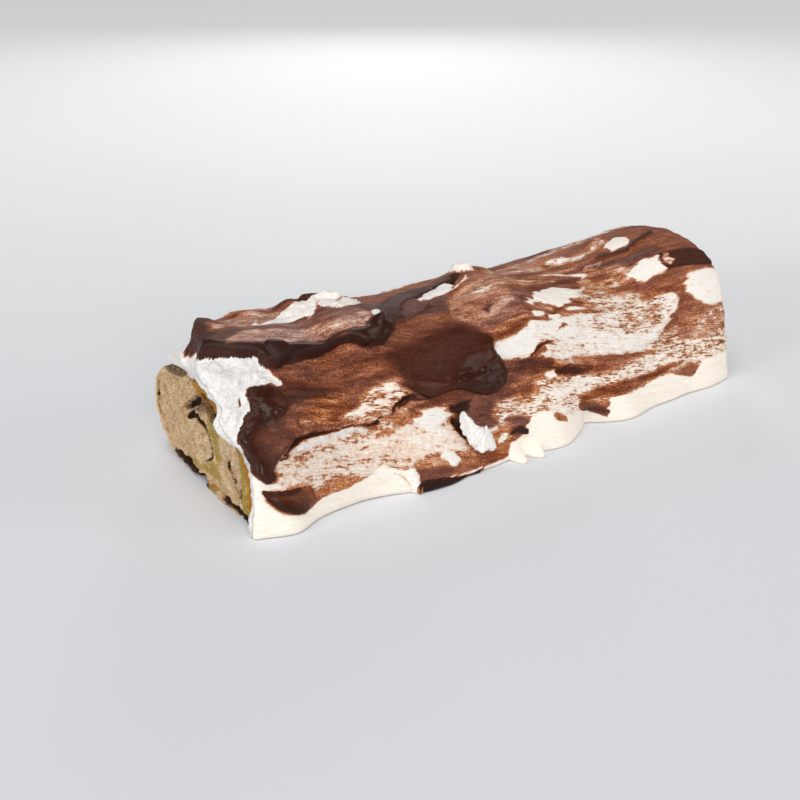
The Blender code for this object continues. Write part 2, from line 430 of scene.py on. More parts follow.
END_REACH = {
    End.NEAR: (
        (0, 3), (8, 2.4), (15, 0.4), (24, -0.6), (34, -0.4), (40, 2.8), (48, 6.2), (58, 6.2), (66, 5),
        (72, 5.6), (82, 7), (89, 6.4), (93, 2.5), (98, -1), (106, -2.5), (112, -4), (120, -9), (126, -11),
        (134, -13.5), (142, -15.5), (154, -18.5), (170, -18), (200, -12)),
    End.FAR: (
        (0, 2), (30, 1.5), (50, 3.5), (65, 5.6), (85, 3), (105, 6), (130, 2.5), (155, 4.6), (180, 1.5)),
}
END_HANG = {
    End.NEAR: ((55, 0.6, 8), (76, -3, 10), (112, 3, 7)),
    End.FAR: ((70, 4, 22), (130, 5, 24)),
}
END_STAND = {
    End.NEAR: ((55, 2, 9), (104, 2, 8), (116, 2, 8)),
    End.FAR: ((60, 2, 15), (125, 2.5, 20)),
}
END_WRAP = {End.NEAR: ((91, 0), (95, 0.1), (100, 0.26), (114, 0.4)), End.FAR: ((0, 0),)}
END_STEP = {End.NEAR: ((90, 0.6), (98, 0.4), (106, 0.46), (300, 0.5)), End.FAR: ((0, 0.5),)}
FOOT_INSETS = ((154, 2, 4), (204.5, 4, 5))
FOOT_TONGUES = ((146.6, 8, 3.4), (156.8, 7.5, 4.8))

FEET = (
    Dab(Beside(((-10, 52), (-3, 42), (1, 32), (4.5, 25), (16, 21), (20, 12), (26, 8), (36, 9.2), (50, 10),
        (58, 11.5), (65, 14), (69.5, 15), (75, 12), (82, 9.5), (84, 5), (85, -4), (120, -4), (124, 1),
        (134, 2), (140, 3), (141.5, 7.5), (150, 8.5), (155, 11), (159, 16.5), (164, 19), (172, 17.5),
        (182, 15), (191, 12.5), (197, 11.5), (204, 9), (210, 6), (216, 3), (217.5, 9), (222, 14.5),
        (233, 15), (248, 15), (265, 16), (277, 12), (286, 9), (295, 15), (310, 19), (330, 14))), edge=0.8,
        chill_and_shade=0, brushed=0.4, **WHITE),
    Dab(Beside(((-10, 206), (25, 209), (55, 201), (95, 209), (130, 203), (150, 209), (190, 207), (215, 201),
        (250, 208), (290, 203), (330, 207)), above=True), edge=0.8, chill_and_shade=0.2, brushed=0.4, **WHITE),
)

FRONT_LOW = (
    Dab(Outline(((9, 24), (11, 30.5), (17, 34.5), (46, 39), (72, 35), (86, 40), (98, 40), (110, 36),
        (115, 30), (113, 24), (118, 12), (105, 9.5), (85, 9.5), (72, 14), (60, 12), (30, 12.5),
        (20, 17.5))), edge=2, chill_and_shade=0.45, **FLECKED),
    Dab(Spot(30, 25, 20, 6), -0.35, 0.8, 5, chill_and_shade=0.7, dots=0.9),
    Dab(Spot(83, 23, 29, 7.5, -8), -0.62, 0.75, 5, chill_and_shade=0.15, dots=0.9),
    Dab(Spot(72, 20, 12, 3, -8), -0.15, 0.6, 4),
    Dab(Stroke(((19, 17.5, 1.5), (26, 15, 3), (36, 13, 3.2), (47, 14, 3), (54, 13, 1.5))), 0.34, 0.7, 2.5,
        bloom_and_sheen=0, dots=0),
    Dab(Stroke(((53, 34, 1.6), (65, 33, 2))), 0.6, 0.8, 2),
    Dab(Stroke(((70, 29, 2), (82, 32.5, 2))), 0.4, 0.9, 2),
    Dab(Stroke(((81, 35, 1.6), (96, 35, 2.2))), 0.8, 0.8, 1.6),
    Dab(Stroke(((85, 11.5, 1.6), (96, 13, 2), (102, 9.5, 2), (110, 10.5, 2), (119, 7.5, 2))), 0.5, 0.9, 2,
        bloom_and_sheen=0),
    Dab(Stroke(((15, 32, 1), (22, 34, 2), (44, 36, 2.4), (54, 36, 1.6), (61, 34, 1))), -0.85, 0.8, 1.2,
        chill_and_shade=1, dots=1, tear=1.7, lift=0.6),
    Dab(Outline(((93, 32), (97, 37.5), (103, 36.5), (110, 33), (110, 29), (102, 26), (96, 28))), -1.7, 0.5,
        1.2, lift=0.9, radius=2.5),
    Dab(Outline(((115, 35), (116, 26), (122, 19), (132, 15), (142, 16), (149, 24), (150, 33), (132, 39))),
        1.9, 0.7, 2, bloom_and_sheen=0.65, gloss=0.2),
    Dab(Outline(((142, 29), (138, 23), (146, 18), (162, 18), (168, 26), (154, 30))), 0.05, 1, 2.5, bloom_and_sheen=0),
    Dab(Stroke(((130, 17, 1.2), (139, 18.5, 2), (145, 22, 1.4))), -0.3, 0.9, 1.6, bloom_and_sheen=0.5),
    Dab(Outline(((126, 12), (130, 4), (143, 7.5), (149, 13), (142, 17.5), (133, 15))), 0.62, 0.7, 1.2,
        bloom_and_sheen=0, gloss=0.6),
    Dab(Stroke(((137, 11.5, 1), (143, 12.5, 1.4))), -1, 0.9, 0.8),
    Dab(Stroke(((147.5, 19, 2), (153.5, 17.5, 2.6))), 1.6, 0.5, bloom_and_sheen=0.7, lift=1.2, radius=2.5),
    Dab(Stroke(((147, 13, 0.8), (152, 13.5, 1.6), (156, 11.5, 1.6))), 3.1, 0.3, 0.5, gloss=0.8, depth=1.2,
        brushed=0.5),
    Dab(Outline(((100.5, 12), (103, 14.5), (109, 13), (110, 9.5), (107, 7.8), (103.5, 9))), -1.7, 0.6, 0.6,
        chill_and_shade=0.5, lift=1),
    Dab(Outline(((84, 9.5), (92, 10), (102, 8.5), (106, 5.5), (98, 4.2), (85, 4.2))), 1.5, 0.3, bloom_and_sheen=0.45,
        gloss=0.7, brushed=0.5),
    Dab(Outline(((110, 5.5), (118, 3), (139, 3), (140, 7), (126, 7.5), (116, 7.5))), 0.9, 0.6, bloom_and_sheen=0,
        gloss=0.6),
    Dab(Outline(((84.2, 4), (85, -4), (102, -4), (120, -2), (121, 0.8), (110, 1), (99, 3.8))), 3.6, 0.1,
        0.5, bloom_and_sheen=0, gloss=1, depth=1.8, radius=2.2, brushed=0.2),
    Dab(Stroke(((99, 3.6, 0.2), (114, 1.8, 0.4), (123, 2, 0.5))), -1.4, 0.4, 0.4, lift=0.9, radius=0.5,
        brushed=0.3),
    Dab(Outline(((79.5, 10), (82.5, 11), (85.5, 8.5), (85, 2), (83.5, -4), (79.5, -4), (81, 4))), -2,
        edge=0.5, chill_and_shade=0.4, lift=1.8, radius=1.8, brushed=0.3),
    Dab(Stroke(((73.5, 10.5, 0.3), (77.5, 8, 0.9), (80, 5, 0.9), (81, 1, 0.5))), -0.4, edge=0.8, bloom_and_sheen=1,
        lift=-1.6, radius=1, brushed=0.3),
    Dab(Outline(((156, 20), (170, 33), (190, 33), (218, 28), (255, 33), (270, 36), (290, 30), (330, 34),
        (330, 16), (270, 16), (220, 13), (183, 12), (168, 19))), -0.28, 1.1, 2.5, bloom_and_sheen=0, chill_and_shade=0.2),
    Dab(Stroke(((180, 23.5, 1), (200, 25, 2))), -1, 0.9, 2),
    Dab(Stroke(((200, 16.5, 2), (216, 17.5, 3), (280, 19, 1))), 1.3, 0.8, 1.5, bloom_and_sheen=0),
    Dab(Stroke(((197, 14.5, 1.2), (203, 11.5, 2.6), (215.5, 7.2, 2))), 1.9, 0.8, 0.9, bloom_and_sheen=0.3, depth=0.9,
        brushed=0.7),
    Dab(Stroke(((175, 14.5, 1), (184, 11.5, 1.5))), 0.9, 0.7),
    Dab(Outline(((220, 39), (240, 35), (260, 30), (280, 32), (300, 28), (330, 32), (330, 42), (290, 40),
        (255, 40))), 0.4, 1.2, 3),
)

FRONT_MIDDLE = (
    Dab(Spot(56, 65, 38, 8), 1.5, 0.85, 6, dots=0.45),
    Dab(Outline(((12, 49), (9, 42), (13, 33), (24, 38), (46, 39.5), (52, 44), (64, 52), (46, 55),
        (26, 55))), 1.35, 0.9, 4, bloom_and_sheen=0.3, gloss=0.5),
    Dab(Stroke(((24, 44, 0.8), (48, 40.5, 1))), 0.5, 1, 2, bloom_and_sheen=0),
    Dab(Outline(((36, 52), (34, 43), (50, 40), (54, 48), (62, 52))), 1, 0.85, 3, bloom_and_sheen=0),
    Dab(Outline(((49, 41), (53, 44.5), (61, 45), (65, 48.5), (83, 51.5), (90, 47), (89, 44.5), (82, 41.5),
        (68, 35))), 0.12, 1.15, 1.6, bloom_and_sheen=0, chill_and_shade=0.1),
    Dab(Stroke(((53, 42.5, 0.8), (62, 42, 1.2), (67, 41, 0.6))), -1, 0.9, 1.2),
    Dab(Stroke(((72, 49, 0.8), (84, 49, 1))), -0.8, 1, 1.2),
    Dab(Stroke(((72, 43, 1.2), (83, 46, 1.2))), -0.7, 1.1, 1.2),
    Dab(Stroke(((34, 73, 2), (52, 73, 3), (72, 72, 2.4))), 1, 0.75, 3),
    Dab(Stroke(((26, 64, 1.2), (44, 57.5, 1.6), (64, 54.5, 1.2), (86, 55, 0.8))), 1.9, 0.6, 2, bloom_and_sheen=0.2),
    Dab(Outline(((90, 35), (102, 42), (125, 41), (150, 42), (170, 42), (180, 34), (150, 33), (120, 34),
        (108, 37))), 1.6, 0.6, 2, bloom_and_sheen=0.25),
    Dab(Stroke(((150, 43.5, 3), (170, 40.5, 3.4), (205, 33, 2.6), (218, 31, 1.4))), 1.5, 0.9, 2, bloom_and_sheen=0.1),
    Dab(Stroke(((152, 44, 1.6), (170, 41.5, 2), (182, 37.5, 1.2))), 2.3, 0.7, 2, bloom_and_sheen=0.3),
    Dab(Stroke(((184, 34, 1.2), (194, 33.5, 2.4), (208, 32.5, 1.8))), 2.2, 0.9, 1.5, bloom_and_sheen=0.1),
    Dab(Stroke(((186, 38.5, 1.2), (206, 37.5, 1.4), (212, 35, 1))), 0.5, 1, 1.5, bloom_and_sheen=0.2),
    Dab(Stroke(((154, 34.5, 1.4), (176, 34.2, 1))), 0.75, 0.7, 1.6, bloom_and_sheen=0),
    Dab(Stroke(((179, 32, 1.4), (186, 33.5, 1.6))), -1.3, 0.7),
    Dab(Outline(((150, 60), (160, 72), (185, 73), (205, 69), (225, 72), (245, 70), (260, 66), (220, 62),
        (180, 62))), 0.95, 1, 2.5, bloom_and_sheen=0.3),
    Dab(Stroke(((154, 60, 1.4), (170, 61.5, 1.6), (186, 62, 1), (202, 67.5, 1.2), (208, 66, 0.8))), 1.4,
        0.9, 1.5, bloom_and_sheen=0),
    Dab(Outline(((140, 73), (150, 84), (170, 84), (190, 82), (188, 74), (170, 70), (150, 66))), 1.25, 0.9,
        4, bloom_and_sheen=0.8, gloss=0.2),
    Dab(Stroke(((156, 75, 2), (172, 74.5, 3), (184, 76, 2))), 1.8, 0.9, 3, bloom_and_sheen=0.7),
)

TORN_PATCH = (
    Dab(Outline(((-16, 92), (-6.5, 92), (-3, 89.2), (10, 81.8), (19, 79.2), (20, 73.5), (23, 71),
        (23.8, 67), (26, 63), (23, 62.2), (20.5, 64.5), (17, 64), (8, 65), (7.2, 56.5), (2.5, 53.2),
        (-2.5, 46), (-1, 34), (-16, 34))), -2.2, 0.15, 0.35, bloom_and_sheen=0, gloss=0.35, chill_and_shade=1, tear=1.5,
        depth=0, lift=-1.4, radius=2.5, brushed=0.2),
    Dab(Spot(0, 77, 7, 6), edge=4, tear=2, lift=1.6, radius=6),
    Dab(Spot(14, 73, 7, 5), edge=4, tear=1, lift=0.8, radius=5),
    Dab(Spot(-3, 56, 5, 9), edge=4, tear=1.8, lift=0.8, radius=4),
    Dab(Stroke(((4.8, 63, 0.2), (4, 60.5, 0.5), (3.4, 57.5, 0.2))), 2.4, edge=0.25, bloom_and_sheen=0.8, lift=-2.4,
        radius=0.6, brushed=0.04),
)

LEFT_BAND = (
    Dab(Outline(((8.5, 65), (7.2, 56.5), (2.5, 53.2), (-2.8, 45.5), (-2.2, 41), (1.5, 30), (5, 25.2),
        (8.5, 24), (10, 28.5), (16, 34.2), (26, 39), (44, 43), (48, 56), (34, 62), (26, 61), (17, 63.5),
        (13.5, 65.5))), 2.3, 0.3, 0.45, bloom_and_sheen=0.2, gloss=0.8, depth=2.1, radius=2.4, brushed=0.3,
        fade=((9, 44), (30, 49))),
    Dab(Outline(((7.8, 63.5), (14, 64.5), (22, 60), (26, 55), (22, 50), (14, 47), (6, 46), (4, 40),
        (11, 27), (9, 24.5), (4, 27), (-2, 42), (-1, 48), (7.5, 57))), 2.95, 0.12, 2, bloom_and_sheen=0.1, gloss=1,
        depth=2.9, radius=7, brushed=0.3),
    Dab(Spot(15, 41, 7.5, 5, -35), 1.75, 0.3, 4, bloom_and_sheen=0.45, gloss=0.9, depth=1.9, radius=6),
    Dab(Stroke(((22, 56, 3.5), (34, 56, 3), (46, 55, 1))), 2.5, 0.4, 3, bloom_and_sheen=0.3, gloss=0.6, depth=1.3,
        radius=3, brushed=0.8),
    Dab(Outline(((3.5, 21.7), (9, 19.8), (28, 17.5), (38, 15), (36, 10.5), (23, 7.4), (12, 10.6),
        (5, 17.5))), 1.9, 0.8, 0.4, bloom_and_sheen=0, gloss=1, depth=2.2, radius=3.2, brushed=0.2,
        fade=((15, 12), (31, 16))),
    Dab(Stroke(((6, 17.5, 1.6), (12, 12.5, 2.2), (22, 9, 1.6))), 3.1, edge=2.5, brushed=0.1),
    Dab(Stroke(((8, 19.5, 1), (18, 17, 1.4), (26, 16, 1))), 1.6, edge=2.5, brushed=0.5),
    Dab(Stroke(((9, 61, 1), (15, 56, 2.5), (19, 51, 2.5), (17, 46, 1))), lift=0.9, radius=2.2),
    Dab(Stroke(((10, 54, 0.8), (12, 49, 2), (17, 42, 1))), lift=-0.9, radius=2),
)

CRACK = (
    Dab(Step(((12, 28), (15, 32.5), (19, 35), (24, 37.5), (29, 38.8), (36, 38.5), (41, 37.6), (46, 39),
        (53, 37.8), (60, 36.2), (68, 34.8), (75, 36.5), (81, 40.5), (90, 44), (96, 45)), fade=8), edge=0.3,
        tear=0.7, lift=1.7, radius=1, brushed=0.9),
    Dab(Stroke(((15, 31.5, 0.4), (24, 36.6, 0.9), (30, 37.8, 0.8), (52, 37.6, 0.3), (69, 34.3, 0.4),
        (76, 36.2, 0.6), (83, 41, 1), (89, 43.3, 1), (94, 43.2, 0.5))), 3.1, 0.8, 0.5, lift=-1.1,
        radius=0.7),
    Dab(Stroke(((74, 35, 0.5), (92, 40, 0.6), (101, 40.5, 0.4))), 0.6, 0.5, 0.7, lift=0.9, radius=1,
        brushed=0.3),
    Dab(Stroke(((84, 39.5, 0.7), (92, 41.8, 0.7), (102, 41, 0.3))), 2.6, 0.3, 0.6),
    Dab(Step(((104, 40.5), (97, 43), (93, 46), (90, 50), (86, 52), (78, 52)), fade=4), lift=0.5,
        radius=0.8),
    Dab(Stroke(((114.5, 34, 1), (117, 31.5, 2), (121, 32.5, 2.4), (125, 34, 1))), 3.2, 0.2, 0.8, lift=-1.4,
        radius=1.5, brushed=0.6),
    Dab(Stroke(((112.5, 28, 1), (114.5, 25, 2), (116, 21, 1.6), (117.5, 18, 0.6))), 3, 0.2, 0.8, gloss=0.8,
        lift=-1.6, radius=1.8, brushed=0.3),
    Dab(Spot(119, 12, 2, 4.5), 0.35, edge=3, bloom_and_sheen=0),
)

POOL = (
    Dab(Outline(((86, 64), (96, 69.5), (126, 74), (135, 73.5), (140.5, 69), (148, 62), (149, 50), (120, 46),
        (94, 49), (90, 53))), 2.2, 0.3, 4, bloom_and_sheen=0.1, gloss=0.75, brushed=0.6),
    Dab(Outline(((90, 52), (92.5, 47), (102, 41.4), (118, 42), (136, 34.8), (148, 36.5), (152, 45),
        (148.5, 55), (149, 62), (130, 70), (108, 70), (94, 62))), depth=3, radius=7.5,
        fade=((122, 49), (116, 67)), **{**WET, "film": 2.6}),
    Dab(Outline(((119, 47.5), (131, 37.8), (144, 36.2), (148.5, 40), (148, 47), (140, 50), (128, 51.5))),
        2.85, edge=3, depth=4, radius=8, brushed=0),
    Dab(Outline(((92, 50), (98, 44), (113, 43.5), (116, 49), (106, 53), (96, 54))), 2.3, edge=3, bloom_and_sheen=0,
        depth=2.8, radius=6, brushed=0.3),
    Dab(Stroke(((134, 34.6, 0.3), (143, 34.2, 0.5), (149, 36.6, 0.5), (152.5, 41, 0.4), (158, 44, 0.3))),
        1.1, edge=0.8, bloom_and_sheen=0, brushed=0.2),
    Dab(Stroke(((106, 52, 1), (116, 49, 3), (126, 50, 1))), lift=-0.9, radius=3),
    Dab(Stroke(((120, 45, 1), (130, 44.5, 3), (139, 48, 2), (146, 54, 1))), lift=1.1, radius=2.6),
    Dab(Stroke(((130, 39.5, 1), (138, 39.5, 2), (144, 43, 1))), lift=-0.8, radius=2),
)

WHITE_PATCHES = (
    Dab(Outline(((147.8, 52), (149.5, 56), (154, 57.6), (162, 57), (172, 58), (178, 60), (210, 62),
        (224, 61), (262, 60), (282, 58), (286, 52), (272, 42), (254, 35), (230, 36), (200, 40.5), (190, 40),
        (154, 48.8))), -0.85, 0.95, 0.8, bloom_and_sheen=0, gloss=0.3, chill_and_shade=0.5, depth=0, lift=1.1, brushed=0.9),
    Dab(Outline(((148, 53), (151, 57), (164, 57), (176, 56), (170, 47), (156, 49.5))), -1.15, 0.35, 2.5,
        chill_and_shade=0.8, brushed=0.1),
    Dab(Outline(((171, 44), (173, 46.5), (180, 48), (179, 44.5), (176, 43))), 1.2, 0.9, 1.2),
    Dab(Stroke(((170, 44.5, 0.5), (172.5, 46.8, 0.9), (178, 48.4, 0.7), (185, 48.6, 0.3))), 2.4, 0.4, 0.5,
        lift=-0.9, radius=1, brushed=0.4),
    Dab(Stroke(((189, 55, 0.3), (193, 57.2, 0.6), (197, 58, 0.5), (200, 56.5, 0.3))), 1.5, 0.6, 0.6,
        lift=-0.5),
    Dab(Spot(254, 52, 22, 9), -0.2, 1.1, 6),
    Dab(Spot(226, 54, 16, 3.5, -8), -0.5, 1.1, 4),
    Dab(Stroke(((178, 64.5, 0.6), (183, 65.5, 1.2), (188, 65.5, 0.8))), -1.6, 0.4, 0.7, lift=0.4),
    Dab(Outline(((191, 63.5), (193, 60.5), (198, 60.2), (199.5, 62.5), (199, 64.5), (194, 64.2))), -1.7,
        0.4, 0.7, lift=0.4),
    Dab(Spot(184, 73.5, 3.8, 2, 20), -1.2, 0.6, 0.8),
    Dab(Spot(215, 66.2, 7, 1.3, -6), -1.5, 0.7, 0.8),
    Dab(Outline(((189, 73.5), (193, 80.5), (199, 81), (203, 84.5), (208, 85.5), (216, 83.5), (220, 81),
        (228, 80), (224, 76), (209, 71), (203, 68.5), (195, 72))), -1.7, 0.55, 0.9, bloom_and_sheen=0, chill_and_shade=0.3,
        lift=0.9, radius=1.4, brushed=0.9),
    Dab(Spot(223, 76, 7, 3.5, -10), -0.5, 1.2, 2.5),
    Dab(Stroke(((221, 103, 0.8), (236, 95, 1.4), (239.5, 91, 2.8), (238.5, 86, 2), (233, 83, 1.4),
        (228, 79, 1.4))), -1.4, 0.6, 0.8, lift=0.6),
    Dab(Outline(((230, 83), (244, 92), (264, 89), (268, 82), (260, 76), (244, 74), (232, 76))), 0.45, 1.2,
        2.5, bloom_and_sheen=0),
    Dab(Spot(250, 87, 8, 3.5), 1.2, 0.8, 2.5, bloom_and_sheen=0),
    Dab(Outline(((266, 81), (276, 82.5), (290, 81), (292, 74), (276, 70), (266, 73))), -1.5, 0.7, lift=0.7),
    Dab(Outline(((222, 70), (230, 73), (252, 71), (264, 63), (250, 60), (228, 62))), -0.1, 1.15, 3,
        bloom_and_sheen=0.1),
)

TOP_PLATE = (
    Dab(Step(((-16, 90), (-6, 90.5), (2, 86.5), (10, 82.5), (18, 79.5), (20.5, 74), (27, 71), (32, 73),
        (38, 72.5), (46, 75), (58, 76.5), (69, 76.8), (75, 72), (81, 69.8), (88, 71), (94, 76), (104, 81),
        (114, 83)), fade=19), lift=3.2, radius=2.6, brushed=0.1),
    Dab(Outline(((-16, 89.5), (-6, 90), (10, 82), (18, 79), (20.2, 73.5), (27, 70.5), (32, 72.5), (38, 72),
        (46, 74.5), (58, 76), (69, 76.2), (74, 72), (80, 69.6), (88, 70.5), (93, 75), (100, 79), (106, 83),
        (124, 89), (132, 98), (110, 108), (84, 99), (70, 103), (46, 106), (34, 105), (24, 120), (16, 132),
        (2, 136), (-16, 134))), 2, 0.5, 0.5, bloom_and_sheen=0.7, gloss=0.25, depth=1, radius=1.5, brushed=0.12),
    Dab(Stroke(((-14, 95, 5), (-3, 94.5, 5), (13, 84.5, 3), (27, 77.5, 6.2), (33, 77.5, 5), (64, 78.4, 2),
        (81, 75, 4.5), (88, 75.5, 3.6), (95, 80, 2))), 3.2, 0.15, 1.2, bloom_and_sheen=0.1, gloss=0.45, depth=3.2,
        radius=3.6, brushed=0.2),
    Dab(Spot(30, 78.5, 6, 6.5), lift=2.2, radius=5, brushed=0.1),
    Dab(Outline(((9, 87.5), (19, 83.5), (31, 84), (34, 88), (32, 97), (24, 97), (14, 92))), 0.56, 1, 2,
        bloom_and_sheen=0.9, gloss=0.3, dots=0.7),
    Dab(Stroke(((14, 91, 1), (32, 95, 1.6))), 0.35, 0.9, 2, bloom_and_sheen=0.6),
    Dab(Outline(((32, 85), (35, 82), (48, 84), (60, 81), (76, 80), (86, 86), (89, 90), (70, 90), (54, 94),
        (36, 97))), 0.62, 1.25, 2, bloom_and_sheen=0.9, gloss=0.25, dots=0.7),
    Dab(Stroke(((35, 83.5, 1), (46, 83.6, 1), (50, 83, 0.4))), 0.1, 0.7, 1.4, bloom_and_sheen=0.6),
    Dab(Stroke(((56, 87.5, 0.6), (78, 83, 1))), -0.2, 1.2, 1.5, bloom_and_sheen=0.6),
    Dab(Stroke(((52, 83, 1.4), (62, 83, 1.8), (74, 81.5, 1))), 1.3, 1.8, 1.5, bloom_and_sheen=0.8),
    Dab(Stroke(((60, 80.4, 0.4), (74, 78.8, 0.5), (91, 87.5, 0.5))), -0.9, 0.9, 0.8, bloom_and_sheen=0.3),
    Dab(Stroke(((26, 102, 2), (38, 101.5, 3.4), (52, 99.5, 3.4), (64, 95, 2.8), (74, 93, 2.6),
        (86, 93, 2.4))), 1.2, 0.7, 2.2, bloom_and_sheen=0.6, brushed=0.8),
    Dab(Spot(11, 119, 11, 12), lift=3, radius=8, brushed=0.1, profile=Profile.SOFT),
    Dab(Outline(((-8, 99), (4, 97), (11, 100), (12, 108), (14, 118), (8, 130), (-10, 126))), 2.4, 0.35, 1.5,
        bloom_and_sheen=0.6),
    Dab(Outline(((11, 101), (20, 102), (24, 108), (23, 120), (15, 124), (12, 112))), 1.3, 0.7, 2,
        bloom_and_sheen=0.1),
    Dab(Spot(18, 110, 3.5, 2.2, 40), -0.9, 0.9, 1.5),
    Dab(Outline(((23, 105), (34, 106), (46, 112), (56, 116), (54, 126), (38, 128), (22, 122))), 0.6, 1.3,
        1.5, bloom_and_sheen=0.5, dots=0.6),
    Dab(Outline(((33, 107.2), (54, 106.4), (60, 104.5), (63, 100), (67, 103.5), (70, 103), (75, 98),
        (82, 97), (89, 100), (94, 108), (90, 122), (76, 126), (52, 117), (42, 111.5))), -2, 0.35, 0.7,
        bloom_and_sheen=0, chill_and_shade=0.5, tear=1.2, depth=0, lift=0.9, radius=2.4, brushed=0.8),
    Dab(Spot(72, 128, 7, 13), lift=-4, radius=6, profile=Profile.SOFT),
    Dab(Spot(166, 143, 26, 22), lift=-4.5, radius=14, profile=Profile.SOFT),
    Dab(Spot(130, 140, 18, 17), lift=-3, radius=10, profile=Profile.SOFT),
    Dab(Spot(44, 136, 16, 16), lift=2.6, radius=10, profile=Profile.SOFT),
    Dab(Stroke(((66, 103, 1.6), (69, 103.5, 1.2), (75, 109, 0.6))), 1.3, edge=0.9, lift=0.8),
    Dab(Stroke(((82, 106, 0.5), (88, 112, 0.8), (94, 114, 0.5))), 1.6, edge=0.8, lift=0.6),
    Dab(Spot(83, 116, 6, 7, 20), edge=4, tear=1.6, lift=3.4, radius=5, profile=Profile.SOFT),
    Dab(Stroke(((95, 83, 5), (104, 92, 6.6), (114, 103, 6.6), (128, 109, 5.5), (144, 113, 4.5),
        (162, 115, 3))), 2.55, 0.25, 1.4, bloom_and_sheen=0.6, gloss=0.3, depth=1.6, radius=3, brushed=0.6),
    Dab(Outline(((92, 72), (106, 83), (120, 86), (132, 83), (139, 78), (138, 74), (120, 73.5))), 1.15, 0.55,
        2.5, bloom_and_sheen=0.25, gloss=0.35),
    Dab(Outline(((118, 88), (122, 97), (132, 98), (143, 99), (141, 91), (133, 84))), 2, 0.6, 2, bloom_and_sheen=0.8,
        gloss=0.2),
    Dab(Outline(((125.5, 97.5), (129, 100.2), (140, 108), (154, 111.5), (153, 103.5), (139, 100),
        (133, 98))), -2, 0.25, 0.7, bloom_and_sheen=0, chill_and_shade=0.6, depth=0, lift=1.1, brushed=0.8),
    Dab(Stroke(((155.5, 108, 1), (158, 111, 2), (161, 115, 1.6))), 3.1, edge=0.8, lift=-1.6),
    Dab(Stroke(((154, 103, 0.6), (160, 105, 0.8), (166, 110, 0.4))), -0.9, edge=0.8, lift=0.6),
    Dab(Step(((158, 103), (149, 99), (143, 92), (138, 86), (135, 81), (135, 77)), fade=11), lift=-1.3,
        radius=1.2, brushed=0.3),
    Dab(Outline(((136, 77), (136, 82), (150, 99), (170, 101), (182, 92), (174, 80), (160, 72), (144, 70))),
        0.7, 0.9, 1.6, bloom_and_sheen=0.3, gloss=0.35, brushed=0.4),
    Dab(Stroke(((152, 94, 1), (164, 90, 2.5), (176, 88, 2))), 0.2, 1.1, 2, bloom_and_sheen=0.1),
    Dab(Spot(152, 86, 9, 6, 35), lift=1.3, radius=6),
    Dab(Spot(169, 84, 8, 5, 20), lift=0.9, radius=5),
    Dab(Spot(166, 76, 6, 2), 0.3, 1.2, 2, bloom_and_sheen=0.9),
    Dab(Spot(158, 77, 3, 1.4, 40), 2.4, 0.6, 1.5, bloom_and_sheen=0.6),
)

PEAK = (
    Dab(Spot(86, 77.5, 10, 8.5, 50), lift=2.4, radius=8, brushed=0, profile=Profile.SOFT),
    Dab(Spot(87.5, 81, 6.2, 5, 60), lift=5, radius=5, brushed=0, profile=Profile.POINTED),
    Dab(Stroke(((77, 73.5, 3), (84, 76, 4.6), (88, 81, 3))), 3.1, 0.1, bloom_and_sheen=0, gloss=0.8, depth=2.4,
        radius=4, brushed=0.1),
    Dab(Outline(((88.5, 83), (89, 87.5), (92, 91), (96, 90.5), (94.5, 86), (92, 83))), -2, 0.1, 0.4,
        bloom_and_sheen=0, chill_and_shade=0.4, depth=0, lift=2.2, radius=2.6, brushed=0.2),
)

RIGHT_TOP = (
    Dab(Outline(((176, 88), (178, 104), (186, 122), (230, 124), (250, 106), (226, 96), (204, 87))), 0.9,
        0.95, 2.5, bloom_and_sheen=0.15, gloss=0.3),
    Dab(Stroke(((198, 89, 2), (220, 90, 3.6), (236, 89, 3))), 1.8, 0.9, 2.5, bloom_and_sheen=0.1),
    Dab(Stroke(((176, 89, 3), (206, 98, 3))), 0.58, 1, 2.5, bloom_and_sheen=0),
    Dab(Stroke(((175, 99, 1), (195, 98, 1.6), (215, 94, 1.4))), 0.1, 1.1, 2),
    Dab(Stroke(((180, 110, 2), (205, 113, 3), (225, 114, 2))), 0.2, 1.1, 2, bloom_and_sheen=0.4),
    Dab(Stroke(((200, 106, 3), (220, 108, 3))), 1.5, 0.8, 2.5),
    Dab(Stroke(((246, 99, 2), (272, 87.5, 3.4), (290, 86, 2.6))), 1.9, 0.5, 1.5, bloom_and_sheen=0.85, gloss=0.2,
        depth=1.2, radius=2.4),
    Dab(Stroke(((246, 97, 1), (251, 95, 1.4), (257, 95.5, 0.5))), -0.5, 0.8, 0.7, chill_and_shade=0.8, lift=2,
        brushed=0.3),
    Dab(Stroke(((262, 102, 1.2), (269, 99, 2), (278, 96, 1.6), (286, 99, 1.4), (304, 102, 2))), 2.3, 0.4,
        1.2, bloom_and_sheen=0.3, depth=1.2),
    Dab(Outline(((269, 102), (274, 99.5), (281, 99.5), (286, 103), (282, 110), (274, 109))), -1.7, 0.5,
        lift=1.2, radius=3),
    Dab(Stroke(((235, 115, 2), (255, 109, 2.4), (275, 113, 2))), -0.5, 1.1, 2),
    Dab(Stroke(((290, 76, 5), (310, 72, 6), (326, 70, 5))), 2.5, 0.25, 1.6, bloom_and_sheen=0.2, gloss=0.7, depth=1.6,
        radius=3.4, brushed=0.6),
    Dab(Outline(((294, 56), (305, 62), (330, 60), (330, 46), (306, 44))), -1.4, 0.9, 1.4, lift=0.8),
    Dab(Spot(172, 119, 5.5, 5, 10), -1.8, 0.5, 1.2, tear=0.8, lift=4, radius=4),
    Dab(Spot(184, 116, 10, 4, -10), lift=1.8, radius=4),
    Dab(Spot(238, 117, 10, 3.5, -20), lift=2, radius=3.5),
    Dab(Spot(270, 115, 9, 4, 15), lift=2.2, radius=4),
    Dab(Stroke(((200, 125, 2), (265, 129, 5), (310, 130, 5))), 0.05, 1.4, 3, bloom_and_sheen=0.2, tear=0.9),
)


